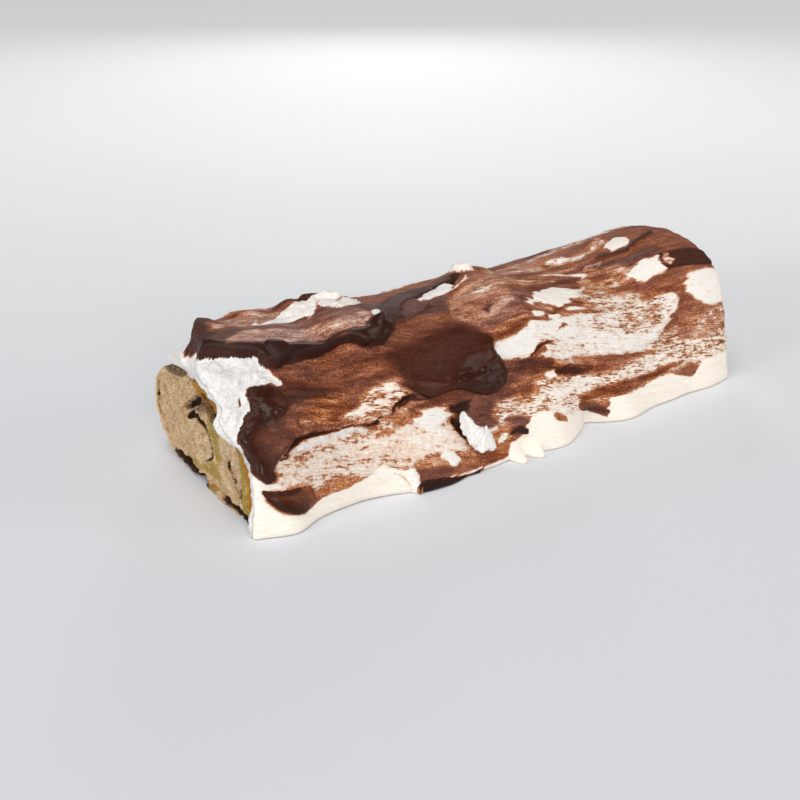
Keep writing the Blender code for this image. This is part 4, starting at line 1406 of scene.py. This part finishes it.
@dataclass
class Roll:
    """The filling and the sponge rolled up in it, with a porous cut face at each end."""

    form: LogForm = field(default_factory=LogForm)
    roll: RollForm = field(default_factory=RollForm)
    inset: float = 0.0010
    edge_gap: float = 0.0012
    edge_radius: float = 0.0014
    cells: int = 150
    band_steps: int = 560
    band_cells: int = 13
    spread: float = 0.005
    settled: float = 0.007
    pale_turns: tuple[float, float] = (0.26, 0.66)

    def face_marks(self, y: Array, z: Array) -> dict[str, Array]:
        """Work out the holes, the stains and the painted shade of the cut face.

        Args:
            y, z: Places across the face and heights on it.

        Returns:
            For each place, how deep it is hollowed in millimetres, and how brown, green and amber it is; the
            brown is partly painted shade.
        """
        wobble_y, wobble_z = (
            (at + 0.9 * MM * cloud(y * 240, z * 240, seed, 3)).ravel() for at, seed in ((y, 81), (z, 85)))
        marks = {name: np.zeros(y.shape) for name in FACE_MARKS}
        for name, table in FACE_MARKS.items():
            for shape, amount, edge in table:
                inside = shape.inside(wobble_y, wobble_z).reshape(y.shape)
                marks[name] = np.maximum(marks[name], amount * smooth(-edge * MM, edge * MM, inside))
        return marks

    def crumb(self, y: Array, z: Array, seed: int) -> Array:
        """Return the heights of a cut face's open crumb, with pits where fractal noise runs low."""
        coarse, fine = cloud(y * 130, z * 170, seed, 3), cloud(y * 480, z * 560, seed + 5, 3, 0.65)
        pits = 1.5 * smooth(0.55, 1.5, -fine) + 0.9 * smooth(0.6, 1.4, -coarse)
        return MM * (0.6 * coarse + 0.45 * fine - pits)

    def disc(self) -> tuple[Array, Array, Array]:
        """Spread a square grid over the roll's section by turning its square rings into the outline.

        Returns:
            y and z of the grid's corners, and the share of the way out to the outline.
        """
        side = np.linspace(-1.0, 1.0, self.cells)
        a, b = np.meshgrid(side, side, indexing="ij")
        ring = np.maximum(np.abs(a), np.abs(b))
        steep = np.abs(b) > np.abs(a)
        turned = np.where(steep, a, b) / np.maximum(ring, 1e-9) * math.pi / 4
        flat = np.where(a >= 0, turned, math.pi - turned)
        turn = np.where(steep, np.sign(b) * (math.pi / 2 - turned), flat)
        radius = ring * (self.roll.edge(turn) - self.edge_gap)
        y = self.roll.middle[0] + radius * np.cos(turn)
        z = self.roll.middle[1] + radius * np.sin(turn)
        low = 1.0 - smooth(0.003, 0.018, z)
        y = y + self.spread * low * smooth(0.026, 0.042, y)
        z = z - self.settled * low * (1.0 - smooth(-0.010, 0.0, y))
        return y, np.maximum(z, 0.0), ring

    def make_filling(self) -> Thing:
        """Make the filling: a body as long as the log with a hollowed, porous face at each end.

        Returns:
            The closed piece.
        """
        y, z, ring = self.disc()
        marks = self.face_marks(y, z)
        rounding = self.edge_radius * (1.0 - np.sqrt(1.0 - np.clip(ring * 10.0 - 9.0, 0.0, 1.0) ** 2))
        end = self.form.length / 2 - self.inset
        bulges = [0.0016 * (1.0 - ring**2) + self.crumb(y, z, seed) for seed in (91, 191)]
        near, far = (end + bulge - MM * marks["hollow"] - rounding for bulge in bulges)
        points = np.stack([np.stack([x, y, z], axis=-1) for x in (-near, far)])
        count, first = self.cells, np.arange(self.cells)
        sides = (first * count, (count - 1) * count + first[1:], (first[:-1] * count + count - 1)[::-1])
        rim = np.concatenate([*sides, first[1:-1][::-1]])
        after, offset = np.roll(rim, -1), count * count
        walls = np.stack([rim, after, offset + after, offset + rim], axis=-1)
        quads = grid_quads(count, count)
        thing = mesh_object("filling_body", points, np.concatenate([quads[:, ::-1], offset + quads, walls]))
        paint(thing, {name: np.stack([value, value]) for name, value in marks.items()})
        lay_pattern(thing, "cut", np.stack([y, y + 0.2]), np.stack([z, z + 0.1]))
        half = fitted(z, 0.02) / 2
        lay_pattern(thing, "OFBake", fitted(y, 0.01), np.stack([half, half + 0.5]))
        return thing

    def band(self) -> tuple[Array, Array, Array]:
        """Return the sponge's spiral: its middle line, its outward directions and its half thickness.

        Returns:
            Points, unit vectors and lengths, each with one row for a step of the spiral.
        """
        fine = np.linspace(self.roll.start, self.roll.end, 4000)
        run = np.cumsum(np.linalg.norm(np.diff(self.roll.line(fine), axis=0), axis=1))
        run = np.concatenate([[0.0], run])
        angle = np.interp(np.linspace(0.0, run[-1], self.band_steps), run, fine)
        middle = self.roll.line(angle)
        forward = unit(np.gradient(middle, axis=0))
        out = np.stack([forward[:, 1], -forward[:, 0]], axis=-1)
        degrees = np.degrees(angle)
        half = np.interp(degrees, *np.array(BAND_THICKNESS).T) * MM / 2
        return middle, out, half * (1.0 + 0.16 * cloud(degrees / 17.0, degrees * 0, 97, 3))

    def make_sponge(self) -> Thing:
        """Make the sponge: a strip that follows the spiral, from one cut face to the other.

        Each ring of corners goes over the near face, along the outer side, over the far face and
        back along the inner side.

        Returns:
            The closed piece.
        """
        middle, out, half = self.band()
        across, ones = np.linspace(-1.0, 1.0, self.band_cells), np.ones(self.band_cells)
        ring_across = np.concatenate([across, [1.0], across[::-1], [-1.0]])
        ring_end = np.concatenate([-ones, [0.0], ones, [0.0]])
        place = middle[:, None] + out[:, None] * (half[:, None] * ring_across)[..., None]
        y, z = place[..., 0], np.maximum(place[..., 1], 0.2 * MM)
        crust = np.abs(ring_across) ** 4
        marks = self.face_marks(y, z)
        proud = 1.1 * MM * (1.0 - crust) + 0.8 * self.crumb(y, z, 131) - MM * marks["hollow"]
        x = ring_end * (self.form.length / 2 - self.inset + proud)
        count, rows = x.shape
        ring = np.arange(rows)
        quads = grid_quads(count, rows, ring=True)[:, [0, 3, 2, 1]]
        ends = [ring[::-1], (count - 1) * rows + ring]
        thing = mesh_object("sponge", np.stack([x, y, z], axis=-1), quads, ends)
        turn = np.broadcast_to(np.linspace(0.0, 1.0, count)[:, None], x.shape)
        starts, ends = (np.clip((turn - at) / 0.08, 0.0, 1.0) for at in self.pale_turns)
        paint(thing, {"crust": np.broadcast_to(crust, x.shape), "pale": starts * (1.0 - ends), **marks})
        lay_pattern(thing, "cut", y + 0.2 * (x > 0), z)
        lay_pattern(thing, "OFBake", turn * 0.98 + 0.01, ring / rows * 0.98 + 0.01)
        return thing


BAND_THICKNESS = ((70, 3.2), (120, 4), (180, 5.2), (240, 5), (290, 2.6), (350, 1.8), (420, 2.4), (470, 3.6),
                  (500, 6), (540, 8), (593, 8.5))
FACE_MARKS = {
    # hollow: depths of the dents, which the finishes also darken with painted shade.
    "hollow": (
        (Stroke(((5, 40, 1), (-1, 44, 1.8), (-8, 48.5, 1))), 3, 0.5),
        (Stroke(((8.5, 33, 0.6), (4, 36, 1.6), (-3, 37.2, 2), (-10, 36, 2), (-16, 32.5, 1))), 3.4, 0.5),
        (Stroke(((-22, 46, 0.6), (-29, 45, 1.8), (-35, 43.5, 1))), 3, 0.5),
        (Stroke(((24, 6.5, 1.6), (16, 6, 2.4), (9, 6, 2), (0, 3, 3), (-7, 3, 2.4))), 4, 0.8),
        (Stroke(((-27, 3, 1.4), (-40, 3, 2.4), (-53, 2.5, 2.2))), 3, 0.9),
        (Spot(-35, 25, 1.4, 3, 20), 2.2, 0.6),
        (Spot(-40, 19.5, 1, 2.6, 20), 2.2, 0.6),
        (Spot(-44, 12.5, 1, 2.4, 10), 2.2, 0.6),
        (Spot(46, 32, 1, 1.6), 3, 0.5),
        (Spot(-12, 52, 2.4, 1, 20), 2.2, 0.5),
        (Spot(-19, 49, 1.2, 2, 20), 2.2, 0.5),
        (Spot(4, 53, 1, 3, 20), 2.2, 0.6),
        (Stroke(((-17, 30, 0.4), (-17.5, 23, 1), (-13, 17, 0.5))), 2.2, 0.5),
    ),
    # Brown marks: partly the crumb's brown skin, partly painted shade round the slits, under the cream's lip
    # and along the foot.
    "brown": (
        (Stroke(((36, 50, 1), (26, 53, 3), (11, 55, 3))), 0.75, 1.4),
        (Stroke(((10, 57.5, 1.2), (-2, 57.5, 1.6))), 1, 1),
        (Stroke(((26, 5.5, 2.6), (6, 3, 3.4), (-8, 3, 3))), 1, 1.6),
        (Stroke(((-26, 2.5, 2.2), (-53, 3, 3))), 0.9, 1.6),
        (Stroke(((9, 39, 2), (-2, 44, 5), (-16, 48, 5), (-24, 43, 4))), 0.7, 2.5),
        (Stroke(((32, 27, 1.4), (26, 24, 2), (20, 21, 1.2))), 0.4, 1.5),
        (Stroke(((-33, 30, 1), (-38, 20, 1.6), (-44, 10, 1.4))), 0.6, 0.8),
    ),
    "green": (
        (Stroke(((-16, 44, 1.4), (-21, 36, 4.5), (-24, 29, 3.5))), 0.85, 1.8),
        (Spot(-24.5, 26, 5, 3.4), 0.9, 1.4),
        (Spot(-20.5, 17, 6, 3.4), 1, 1.4),
        (Stroke(((-20, 12.5, 2.4), (-6, 11, 2.6), (12, 9, 2))), 0.8, 1.4),
        (Spot(-43, 39, 3, 3), 0.8, 1.4),
        (Stroke(((-46, 34, 1.4), (-48, 22, 1.6), (-49, 8, 1.4))), 0.8, 1),
    ),
    "amber": (
        (Stroke(((-2, 55, 3), (-14, 51, 6), (-28, 48, 7.5), (-38, 45, 4))), 0.9, 3),
        (Stroke(((-51, 36, 1), (-55, 24, 2.6), (-56, 8, 2.6))), 1, 1.4),
        (Stroke(((16, 35, 1), (10, 38, 2.4), (4, 43, 2))), 0.6, 1.6),
        (Stroke(((-12, 5, 2), (-24, 5, 2))), 0.7, 1.2),
    ),
}


@dataclass
class Curl:
    """A loose curl of cream that has fallen over on the front of the log.

    Its middle line runs over the coat through a few stops, which give x, s, the half width and the
    height. Its section is an oval that is hollowed on the inside, like a peeled ribbon, and ends in
    a torn tip.
    """

    form: LogForm = field(default_factory=LogForm)
    steps: int = 130
    sides: int = 72
    lift: float = 0.0028
    floor_gap: float = 0.0006
    power: float = 0.8
    stops: Table = (
        (117.2, 31, 1.4, 2), (117.2, 27, 3, 3.2), (118.2, 22.5, 4, 4), (120.2, 18.5, 5, 4.8),
        (123.5, 15.5, 5.8, 5.2), (128, 14.2, 5.6, 4.6), (131.5, 14.5, 3.4, 2.6))

    def make(self) -> Thing:
        """Make the curl.

        Returns:
            The closed piece.
        """
        chain = rounded(np.array(self.stops) * MM, steps=12)
        share = np.linspace(0.0, 1.0, self.steps)
        taper = np.sqrt(np.clip(1.0 - (2.0 * share - 1.0) ** 14, 0.0, 1.0)) + 0.02
        x, s, half, height = (np.interp(share, np.linspace(0, 1, len(chain)), column) for column in chain.T)
        base, out, _ = self.form.frame(x - self.form.length / 2, s)
        side = unit(np.cross(out, np.gradient(base, axis=0)))
        turn = np.linspace(0.0, 2 * math.pi, self.sides, endpoint=False)
        share, half, height, taper = share[:, None], half[:, None], height[:, None], taper[:, None]
        across = signed_power(np.cos(turn), self.power) * half * taper
        up = signed_power(np.sin(turn), self.power) * height * taper / 2
        hollow = 0.22 * np.exp(-(((turn - math.pi / 2) / 0.55) ** 2)) * height * taper
        u, v = share * 0.034, np.sin(turn) * 0.006 + np.cos(turn) * 0.004
        torn = cloud(u * 330, v * 330 + 3.0, 141, 4, 0.6)
        grow = 1.0 + 0.16 * torn + 0.14 * ripple(share * 9.0, np.cos(turn) * 0.8 + 3, 147)
        lift = self.lift + height * 0.4 + (up - hollow) * grow
        points = base[:, None] + side[:, None] * (across * grow)[..., None] + out[:, None] * lift[..., None]
        points[..., 2] = np.maximum(points[..., 2], self.floor_gap)
        quads = grid_quads(self.steps, self.sides, ring=True)[:, ::-1]
        ring = np.arange(self.sides)
        thing = mesh_object("curl", points, quads, [ring, (self.steps - 1) * self.sides + ring[::-1]])
        looks = dict(film=-1.35, grain=0.6, bloom_and_sheen=0.0, gloss=0.4, chill_and_shade=0.85, dots=0.8, thick=0.0)
        paint(thing, {name: np.full(points.shape[:2], value) for name, value in looks.items()})
        lay_pattern(thing, "brush", u, turn * 0.0016)
        lay_pattern(thing, "OFBake", share * 0.98 + 0.01, turn / 6.4 * 0.98 + 0.01)
        return thing


# Finishes


@dataclass(frozen=True)
class Tint:
    """A colour as it shows on a screen, from 0 to 255."""

    red: int
    green: int
    blue: int

    def linear(self) -> tuple[float, float, float, float]:
        """Return the colour's linear light, by the screen's own curve."""
        shares = (np.array([self.red, self.green, self.blue]) / 255.0 + 0.055) / 1.055
        return (*(float(share) for share in shares**2.4), 1.0)


class Wiring:
    """Short forms for wiring one material's nodes to its Principled BSDF."""

    def __init__(self, name: str) -> None:
        """Make the material and keep its shader.

        Args:
            name: The material's name.
        """
        self.material = bpy.data.materials.new(name)
        self.material.use_nodes = True
        self.tree = self.material.node_tree
        self.shader = self.tree.nodes["Principled BSDF"]

    def node(self, kind: str, inputs: dict[object, object], **settings: object) -> bpy.types.Node:
        """Add a node.

        Args:
            kind: The node's type.
            inputs: What goes into each of its sockets.
            **settings: The node's own settings.

        Returns:
            The node.
        """
        node = self.tree.nodes.new(kind)
        for name, value in settings.items():
            setattr(node, name, value)
        self.join(node, inputs)
        return node

    def join(self, node: bpy.types.Node, inputs: dict[object, object]) -> None:
        """Wire other sockets into a node's sockets, or set a number or a tint on them.

        Args:
            node: The node.
            inputs: What goes into each of its sockets.
        """
        for name, value in inputs.items():
            if isinstance(value, Socket):
                self.tree.links.new(value, node.inputs[name])
            else:
                node.inputs[name].default_value = value.linear() if isinstance(value, Tint) else value

    def math(self, operation: str, *values: object) -> Socket:
        """Return the result of a Math node on up to three numbers."""
        return self.node("ShaderNodeMath", dict(enumerate(values)), operation=operation).outputs[0]

    def times(self, first: object, second: object, more: object = 0.0) -> Socket:
        """Return the product of two numbers plus a third."""
        return self.math("MULTIPLY_ADD", first, second, more)

    def number(self, name: str) -> Socket:
        """Return the number that the mesh keeps under a name."""
        return self.node("ShaderNodeAttribute", {}, attribute_name=name).outputs["Fac"]

    def noise(self, name: str, scale: tuple[float, float], turn: float = 0.0, detail: float = 2.0,
              rough: float = 0.5) -> Socket:
        """Return fractal noise over a UV map, spread out to run from about -1 to 1.

        Args:
            name: The map's name.
            scale: Waves to the metre along the map's two directions.
            turn: How far the pattern is turned, in degrees.
            detail: How many finer waves are added.
            rough: How strong the finer waves are.

        Returns:
            The noise.
        """
        places = self.node("ShaderNodeUVMap", {}, uv_map=name).outputs["UV"]
        for change in ({"Rotation": (0.0, 0.0, math.radians(turn))}, {"Scale": (*scale, 1.0)}):
            places = self.node("ShaderNodeMapping", {"Vector": places, **change}).outputs[0]
        inputs = {"Vector": places, "Scale": 1.0, "Detail": detail, "Roughness": rough}
        fac = self.node("ShaderNodeTexNoise", inputs, noise_dimensions="2D").outputs["Fac"]
        return self.times(fac, 4.4, -2.2)

    def range(self, value: object, low: object, high: object, to_low: float = 0.0, to_high: float = 1.0,
              kind: str = "SMOOTHSTEP") -> Socket:
        """Return a value carried from one range to another, kept within it."""
        inputs = {"Value": value, "From Min": low, "From Max": high, "To Min": to_low, "To Max": to_high}
        return self.node("ShaderNodeMapRange", inputs, interpolation_type=kind).outputs[0]

    def mix(self, share: object, first: object, second: object) -> Socket:
        """Return one colour blended into another."""
        inputs = {0: share, 6: first, 7: second}
        return self.node("ShaderNodeMix", inputs, data_type="RGBA", clamp_factor=True).outputs[2]

    def ramp(self, value: object, stops: Table) -> Socket:
        """Return the colour that a value has between stops.

        Args:
            value: The value.
            stops: The value, red, green and blue of each stop, from value 0 up.

        Returns:
            The colour.
        """
        highest = stops[-1][0]
        node = self.node("ShaderNodeValToRGB", {"Fac": self.range(value, 0.0, highest, kind="LINEAR")})
        elements = node.color_ramp.elements
        for _ in stops[2:]:
            elements.new(0.5)
        for element, (at, *tint) in zip(elements, stops):
            element.position = at / highest
            element.color = Tint(*tint).linear()
        return node.outputs["Color"]

    def bump(self, *heights: tuple[object, float]) -> None:
        """Wire relief into the shader, as a chain of bumps.

        Args:
            *heights: Values that run from about -1 to 1, each with its height in millimetres.
        """
        below = {}
        for value, height in heights:
            inputs = {"Height": value, "Distance": height * MM, "Strength": 1.0, **below}
            below = {"Normal": self.node("ShaderNodeBump", inputs).outputs["Normal"]}
        self.join(self.shader, below)


@dataclass(frozen=True)
class CoatFinish:
    """Cream with chocolate on it, from bare to nearly black, as the mesh's numbers say.

    Streaks along the log and fine specks break up the film: where their sum with the film number
    is below zero the cream is bare, and above it the chocolate darkens with the number.
    """

    name: str
    scatter: float
    shine: float
    # warm_cream is the cream's own tint with painted warm bounce light in it, fullest on the foot where
    # chill_and_shade is 0.
    warm_cream: Tint = Tint(252, 243, 232)
    cold_cream: Tint = Tint(240, 238, 237)
    painted_shade_cream: Tint = Tint(206, 203, 196)
    stained_cream: Tint = Tint(228, 192, 166)
    brown: Table = (
        (0, 222, 174, 138), (0.35, 206, 140, 96), (0.7, 172, 102, 60), (1.1, 134, 70, 39),
        (1.6, 101, 50, 28), (2.1, 78, 36, 20), (2.8, 55, 24, 14), (3.6, 36, 15, 9))
    # The dull tints: a dull bloom with a painted pinkish-grey sheen of reflected light in them.
    dull: Table = (
        (0, 222, 186, 172), (0.4, 196, 150, 134), (0.9, 164, 118, 104), (1.6, 120, 78, 67),
        (2.3, 86, 54, 46), (3.6, 50, 29, 25))

    def make(self) -> bpy.types.Material:
        """Make the material.

        Returns:
            The material.
        """
        net = Wiring(self.name)
        film, grain, bloom_and_sheen, gloss, chill_and_shade, dots, thick = (
            net.number(name) for name in ("film", "grain", "bloom_and_sheen", "gloss", "chill_and_shade", "dots", "thick"))
        streaks = net.noise("brush", (120, 900), 11, 3.0, 0.55)
        dashes = net.noise("brush", (330, 1250), 13, 3.0, 0.6)
        specks = net.noise("brush", (760, 1150), 22, 3.0, 0.65)
        patchy = net.noise("brush", (90, 330), 12, 3.0, 0.6)
        flow = net.noise("brush", (42, 480), 8, 3.0, 0.6)
        sand = net.noise("brush", (1300, 1800), 15, 2.0, 0.7)
        blots = net.noise("brush", (430, 620), 22, 4.0, 0.72)
        broken = net.times(net.math("SUBTRACT", blots, dashes), dots, dashes)
        broken = net.times(broken, 0.75, net.times(streaks, net.range(dots, 0.3, 1.0, 0.5, 0.12)))
        broken = net.times(patchy, 0.5, broken)
        amount = net.times(broken, grain, film)
        soft = net.times(bloom_and_sheen, 0.3)
        cover = net.range(amount, net.math("SUBTRACT", -0.06, soft), net.math("ADD", 0.10, soft))
        mottle = 0.0
        for pattern, weight in ((flow, 0.30), (patchy, 0.34), (dashes, 0.26), (specks, 0.40), (sand, 0.36)):
            mottle = net.times(pattern, weight, mottle)
        mottle = net.times(mottle, net.times(grain, 0.85, 0.35))
        body = net.times(mottle, net.range(thick, 1.1, 2.4, 1.0, 0.2), net.math("MAXIMUM", film, 0.55))
        rim = net.range(thick, 0.0, 0.02, 9.0, 0.0)
        thin = net.times(rim, 1.0, net.range(thick, 0.0, 0.8, 2.0, 4.5, "LINEAR"))
        depth = net.math("MINIMUM", net.math("MINIMUM", body, net.times(amount, 2.2, 0.30)), thin)
        # Share of the dull tints: the real bloom and its painted sheen, where bloom_and_sheen is.
        dullness = net.times(net.noise("brush", (32, 120), 10), net.times(grain, 0.25), bloom_and_sheen)
        brown = net.mix(dullness, net.ramp(depth, self.brown), net.ramp(depth, self.dull))
        # Patches of painted grey shade on the cream, stronger where chill_and_shade is higher.
        shade = net.range(net.noise("brush", (240, 330), 0, 4.0, 0.6), 0.1, 1.5)
        cream = net.mix(chill_and_shade, self.warm_cream, self.cold_cream)
        cream = net.mix(net.times(shade, net.times(chill_and_shade, 0.45, 0.08)), cream, self.painted_shade_cream)
        cream = net.mix(net.range(amount, -1.1, 0.0, 0.0, 0.8), cream, self.stained_cream)
        rough = net.range(net.times(gloss, cover), 0.0, 1.0, 0.62, 0.17, "LINEAR")
        net.join(net.shader, {
            "Base Color": net.mix(cover, cream, brown),
            "Roughness": net.times(net.noise("brush", (90, 300), 0, 3.0), 0.05, rough),
            "Subsurface Weight": self.scatter,
            "Subsurface Radius": (0.006, 0.004, 0.003),
            "Subsurface Scale": 0.5,
            "Specular IOR Level": self.shine,
        })
        dry = net.range(thick, 1.1, 2.4, 1.0, 0.15)
        rubbed = net.noise("brush", (700, 900), 0, 4.0, 0.6)
        net.bump(
            (net.times(cover, dry), 0.18),
            (net.times(streaks, dry), 0.10),
            (net.times(rubbed, net.times(chill_and_shade, dry)), 0.14),
            (net.times(flow, dry), 0.10),
            (net.times(dashes, dry), 0.10),
            (net.times(specks, dry), 0.08),
            (net.noise("brush", (170, 230)), 0.06),
        )
        return net.material


@dataclass(frozen=True)
class CrumbFinish:
    """A porous cut crumb: two tints in patches, pores and holes darkened with painted shade, brown
    marks that are partly skins and partly painted shade, and green stripes.

    Each mark has the name of its number on the mesh, its tint, how far the pores ragged its edge,
    the numbers where it starts and is whole, and its least and greatest strength.
    """

    name: str
    light: Tint
    middle: Tint
    deep: Tint
    ruddy: Tint = Tint(190, 138, 92)
    hole_shade: Tint = Tint(66, 40, 24)
    marks: Sequence[tuple] = (
        ("pale", Tint(244, 208, 160), 0.0, 0.0, 1.0),
        ("crust", Tint(84, 56, 40), 0.16, 0.35, 1.05, 0.0, 0.6),
        ("green", Tint(190, 166, 76), 0.2, 0.25, 0.95, 0.0, 0.85),
        ("amber", Tint(196, 134, 40), 0.2, 0.25, 0.95, 0.0, 0.85),
        # brown: partly skin, partly painted shade.
        ("brown", Tint(84, 56, 40), 0.2, 0.25, 0.95),
    )

    def make(self) -> bpy.types.Material:
        """Make the material.

        Returns:
            The material.
        """
        net = Wiring(self.name)
        pores = net.noise("cut", (620, 820), 20, 4.0, 0.68)
        veins = net.noise("cut", (380, 700), -25, 3.0, 0.6)
        colour = net.mix(net.range(net.noise("cut", (160, 190), 0, 3.0), -1.0, 1.0), self.middle, self.light)
        ruddy = net.range(net.noise("cut", (95, 150), -30, 3.0, 0.6), 0.1, 1.3, 0.0, 0.45)
        colour = net.mix(ruddy, colour, self.ruddy)
        # Darken the pores towards the deep tint: painted shade in the pits.
        colour = net.mix(net.range(pores, 0.1, 1.2), colour, self.deep)
        colour = net.mix(net.range(veins, 0.5, 1.5, 0.0, 0.7), colour, self.deep)
        for name, tint, ragged, *span in self.marks:
            colour = net.mix(net.range(net.times(pores, ragged, net.number(name)), *span), colour, tint)
        # Painted shade in the hollows: the deeper the dent, the nearer to hole_shade.
        hole_shade_share = net.range(net.times(pores, 0.15, net.number("hollow")), 0.15, 1.3)
        net.join(net.shader, {
            "Base Color": net.mix(hole_shade_share, colour, self.hole_shade),
            "Roughness": 0.85,
            "Subsurface Weight": 0.12,
            "Subsurface Radius": (0.004, 0.0025, 0.0015),
            "Subsurface Scale": 0.4,
            "Specular IOR Level": 0.25,
        })
        net.bump((net.times(pores, -1.0), 0.55), (net.times(veins, -1.0), 0.30))
        return net.material


@dataclass(frozen=True)
class FloorFinish:
    """A plain pale floor with painted light: it grows lighter towards the back, with the faintest cloudiness.
    """

    name: str = "floor"
    light: Tint = Tint(254, 254, 254)
    shade: Tint = Tint(212, 215, 221)
    away: Place = (0.571, 0.821, 0.0)
    lightens: tuple[float, float] = (-0.35, 0.9)

    def make(self) -> bpy.types.Material:
        """Make the material.

        Returns:
            The material.
        """
        net = Wiring(self.name)
        places = net.node("ShaderNodeTexCoord", {}).outputs["Object"]
        cloudy = net.node("ShaderNodeTexNoise", {"Vector": places, "Scale": 1.2, "Detail": 2.0})
        far = net.node("ShaderNodeVectorMath", {0: places, 1: self.away}, operation="DOT_PRODUCT")
        far = net.times(cloudy.outputs["Fac"], 0.1, far.outputs["Value"])
        far = net.range(far, *self.lightens)
        net.join(net.shader, {"Base Color": net.mix(far, self.shade, self.light), "Roughness": 0.7})
        return net.material


# The studio


@dataclass
class Studio:
    """The floor, the soft lights and the camera."""

    camera_at: Place = (-0.3452, -0.4413, 0.2657)
    azimuth: float = -34.85
    elevation: float = 25.2
    lens: float = 48.1
    sensor: float = 36.0
    world: float = 0.16
    sun: float = 1.7
    sun_spread: float = math.radians(50.0)
    aim: Place = (0.0, 0.0, 0.03)
    floor_half: float = 30.0
    floor_drop: float = 0.0002

    def light(self, name: str, kind: str, at: Place, tint: Tint, power: float, **settings: object) -> None:
        """Hang a light that faces the cake.

        Args:
            name: The light's name.
            kind: Its type.
            at: Its place.
            tint: Its colour.
            power: Its strength.
            **settings: Its other settings.
        """
        data = bpy.data.lights.new(name, kind)
        data.color = tint.linear()[:3]
        data.energy = power
        for setting, value in settings.items():
            setattr(data, setting, value)
        way = Vector(self.aim) - Vector(at)
        stand_at(name, data, at).rotation_euler = way.to_track_quat("-Z", "Y").to_euler()

    def make_floor(self) -> Thing:
        """Make a wide flat floor just under the cake.

        Returns:
            The floor.
        """
        across = np.linspace(-self.floor_half, self.floor_half, 9)
        x, y = np.meshgrid(across, across, indexing="ij")
        floor = mesh_object("floor", np.stack([x, y, x * 0 - self.floor_drop], axis=-1), grid_quads(9, 9))
        floor.data.materials.append(FloorFinish().make())
        return floor

    def make_camera(self) -> None:
        """Make the camera."""
        data = bpy.data.cameras.new("camera")
        data.lens, data.sensor_width = self.lens, self.sensor
        camera = stand_at("camera", data, self.camera_at)
        camera.rotation_euler = (math.radians(90.0 - self.elevation), 0.0, math.radians(self.azimuth))
        bpy.context.scene.camera = camera

    def make(self) -> None:
        """Set up the whole studio."""
        self.make_floor()
        self.make_camera()
        above = (-0.45, -0.35, 1.5)
        self.light("overhead", "SUN", above, Tint(255, 254, 252), self.sun, angle=self.sun_spread)
        for name, at, size, power, tint in (
            ("front", (-0.6, -1.5, 0.55), 0.8, 9.0, Tint(255, 252, 247)),
            ("right_front", (1.5, -1.6, 1.0), 1.5, 11.0, Tint(255, 252, 247)),
            ("left", (-1.7, -0.1, 0.5), 0.5, 10.0, Tint(255, 252, 248)),
            ("back", (0.9, 1.4, 0.8), 0.6, 4.0, Tint(252, 253, 255)),
        ):
            self.light(name, "AREA", at, tint, power, shape="DISK", size=size)
        world = bpy.data.worlds.new("studio")
        world.use_nodes = True
        background = world.node_tree.nodes["Background"]
        background.inputs["Color"].default_value = Tint(240, 242, 246).linear()
        background.inputs["Strength"].default_value = self.world
        bpy.context.scene.world = world
        bpy.context.scene.view_settings.view_transform = "Standard"


# Main


def place(thing: Thing, node: str, slot: str, material: bpy.types.Material) -> None:
    """Dress a finished piece, tie it to the cake's body and report it.

    Args:
        thing: The piece.
        node: The node that it replaces.
        slot: Not used.
        material: Its finish.
    """
    thing.data.materials.append(material)
    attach(thing, "root")
    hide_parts(node)
    LOG.info("%s: %d triangles", thing.name, sum(len(face.vertices) - 2 for face in thing.data.polygons))


def main() -> None:
    """Build the cake from the inside out, then the studio."""
    logging.basicConfig(level=logging.INFO, format="%(message)s")
    coat, roll = Coat(), Roll()
    cream = CoatFinish("cream", 0.05, 0.12).make()
    chocolate = CoatFinish("chocolate", 0.0, 0.19).make()
    # The third tint of each crumb is the painted shade of its pores.
    filling = CrumbFinish("filling", Tint(252, 222, 180), Tint(234, 194, 148), Tint(126, 82, 50)).make()
    sponge = CrumbFinish("sponge", Tint(220, 186, 104), Tint(186, 150, 70), Tint(118, 84, 34)).make()
    place(roll.make_filling(), "filling", "filling", filling)
    place(roll.make_sponge(), "sponge_sheet", "sponge", sponge)
    place(coat.make_cream(), "cream_coat", "cream", cream)
    place(coat.make_chocolate(), "chocolate_glaze", "chocolate", chocolate)
    place(Curl().make(), "cream_curl", "cream", cream)
    Studio().make()


if __name__ == "__main__":
    main()
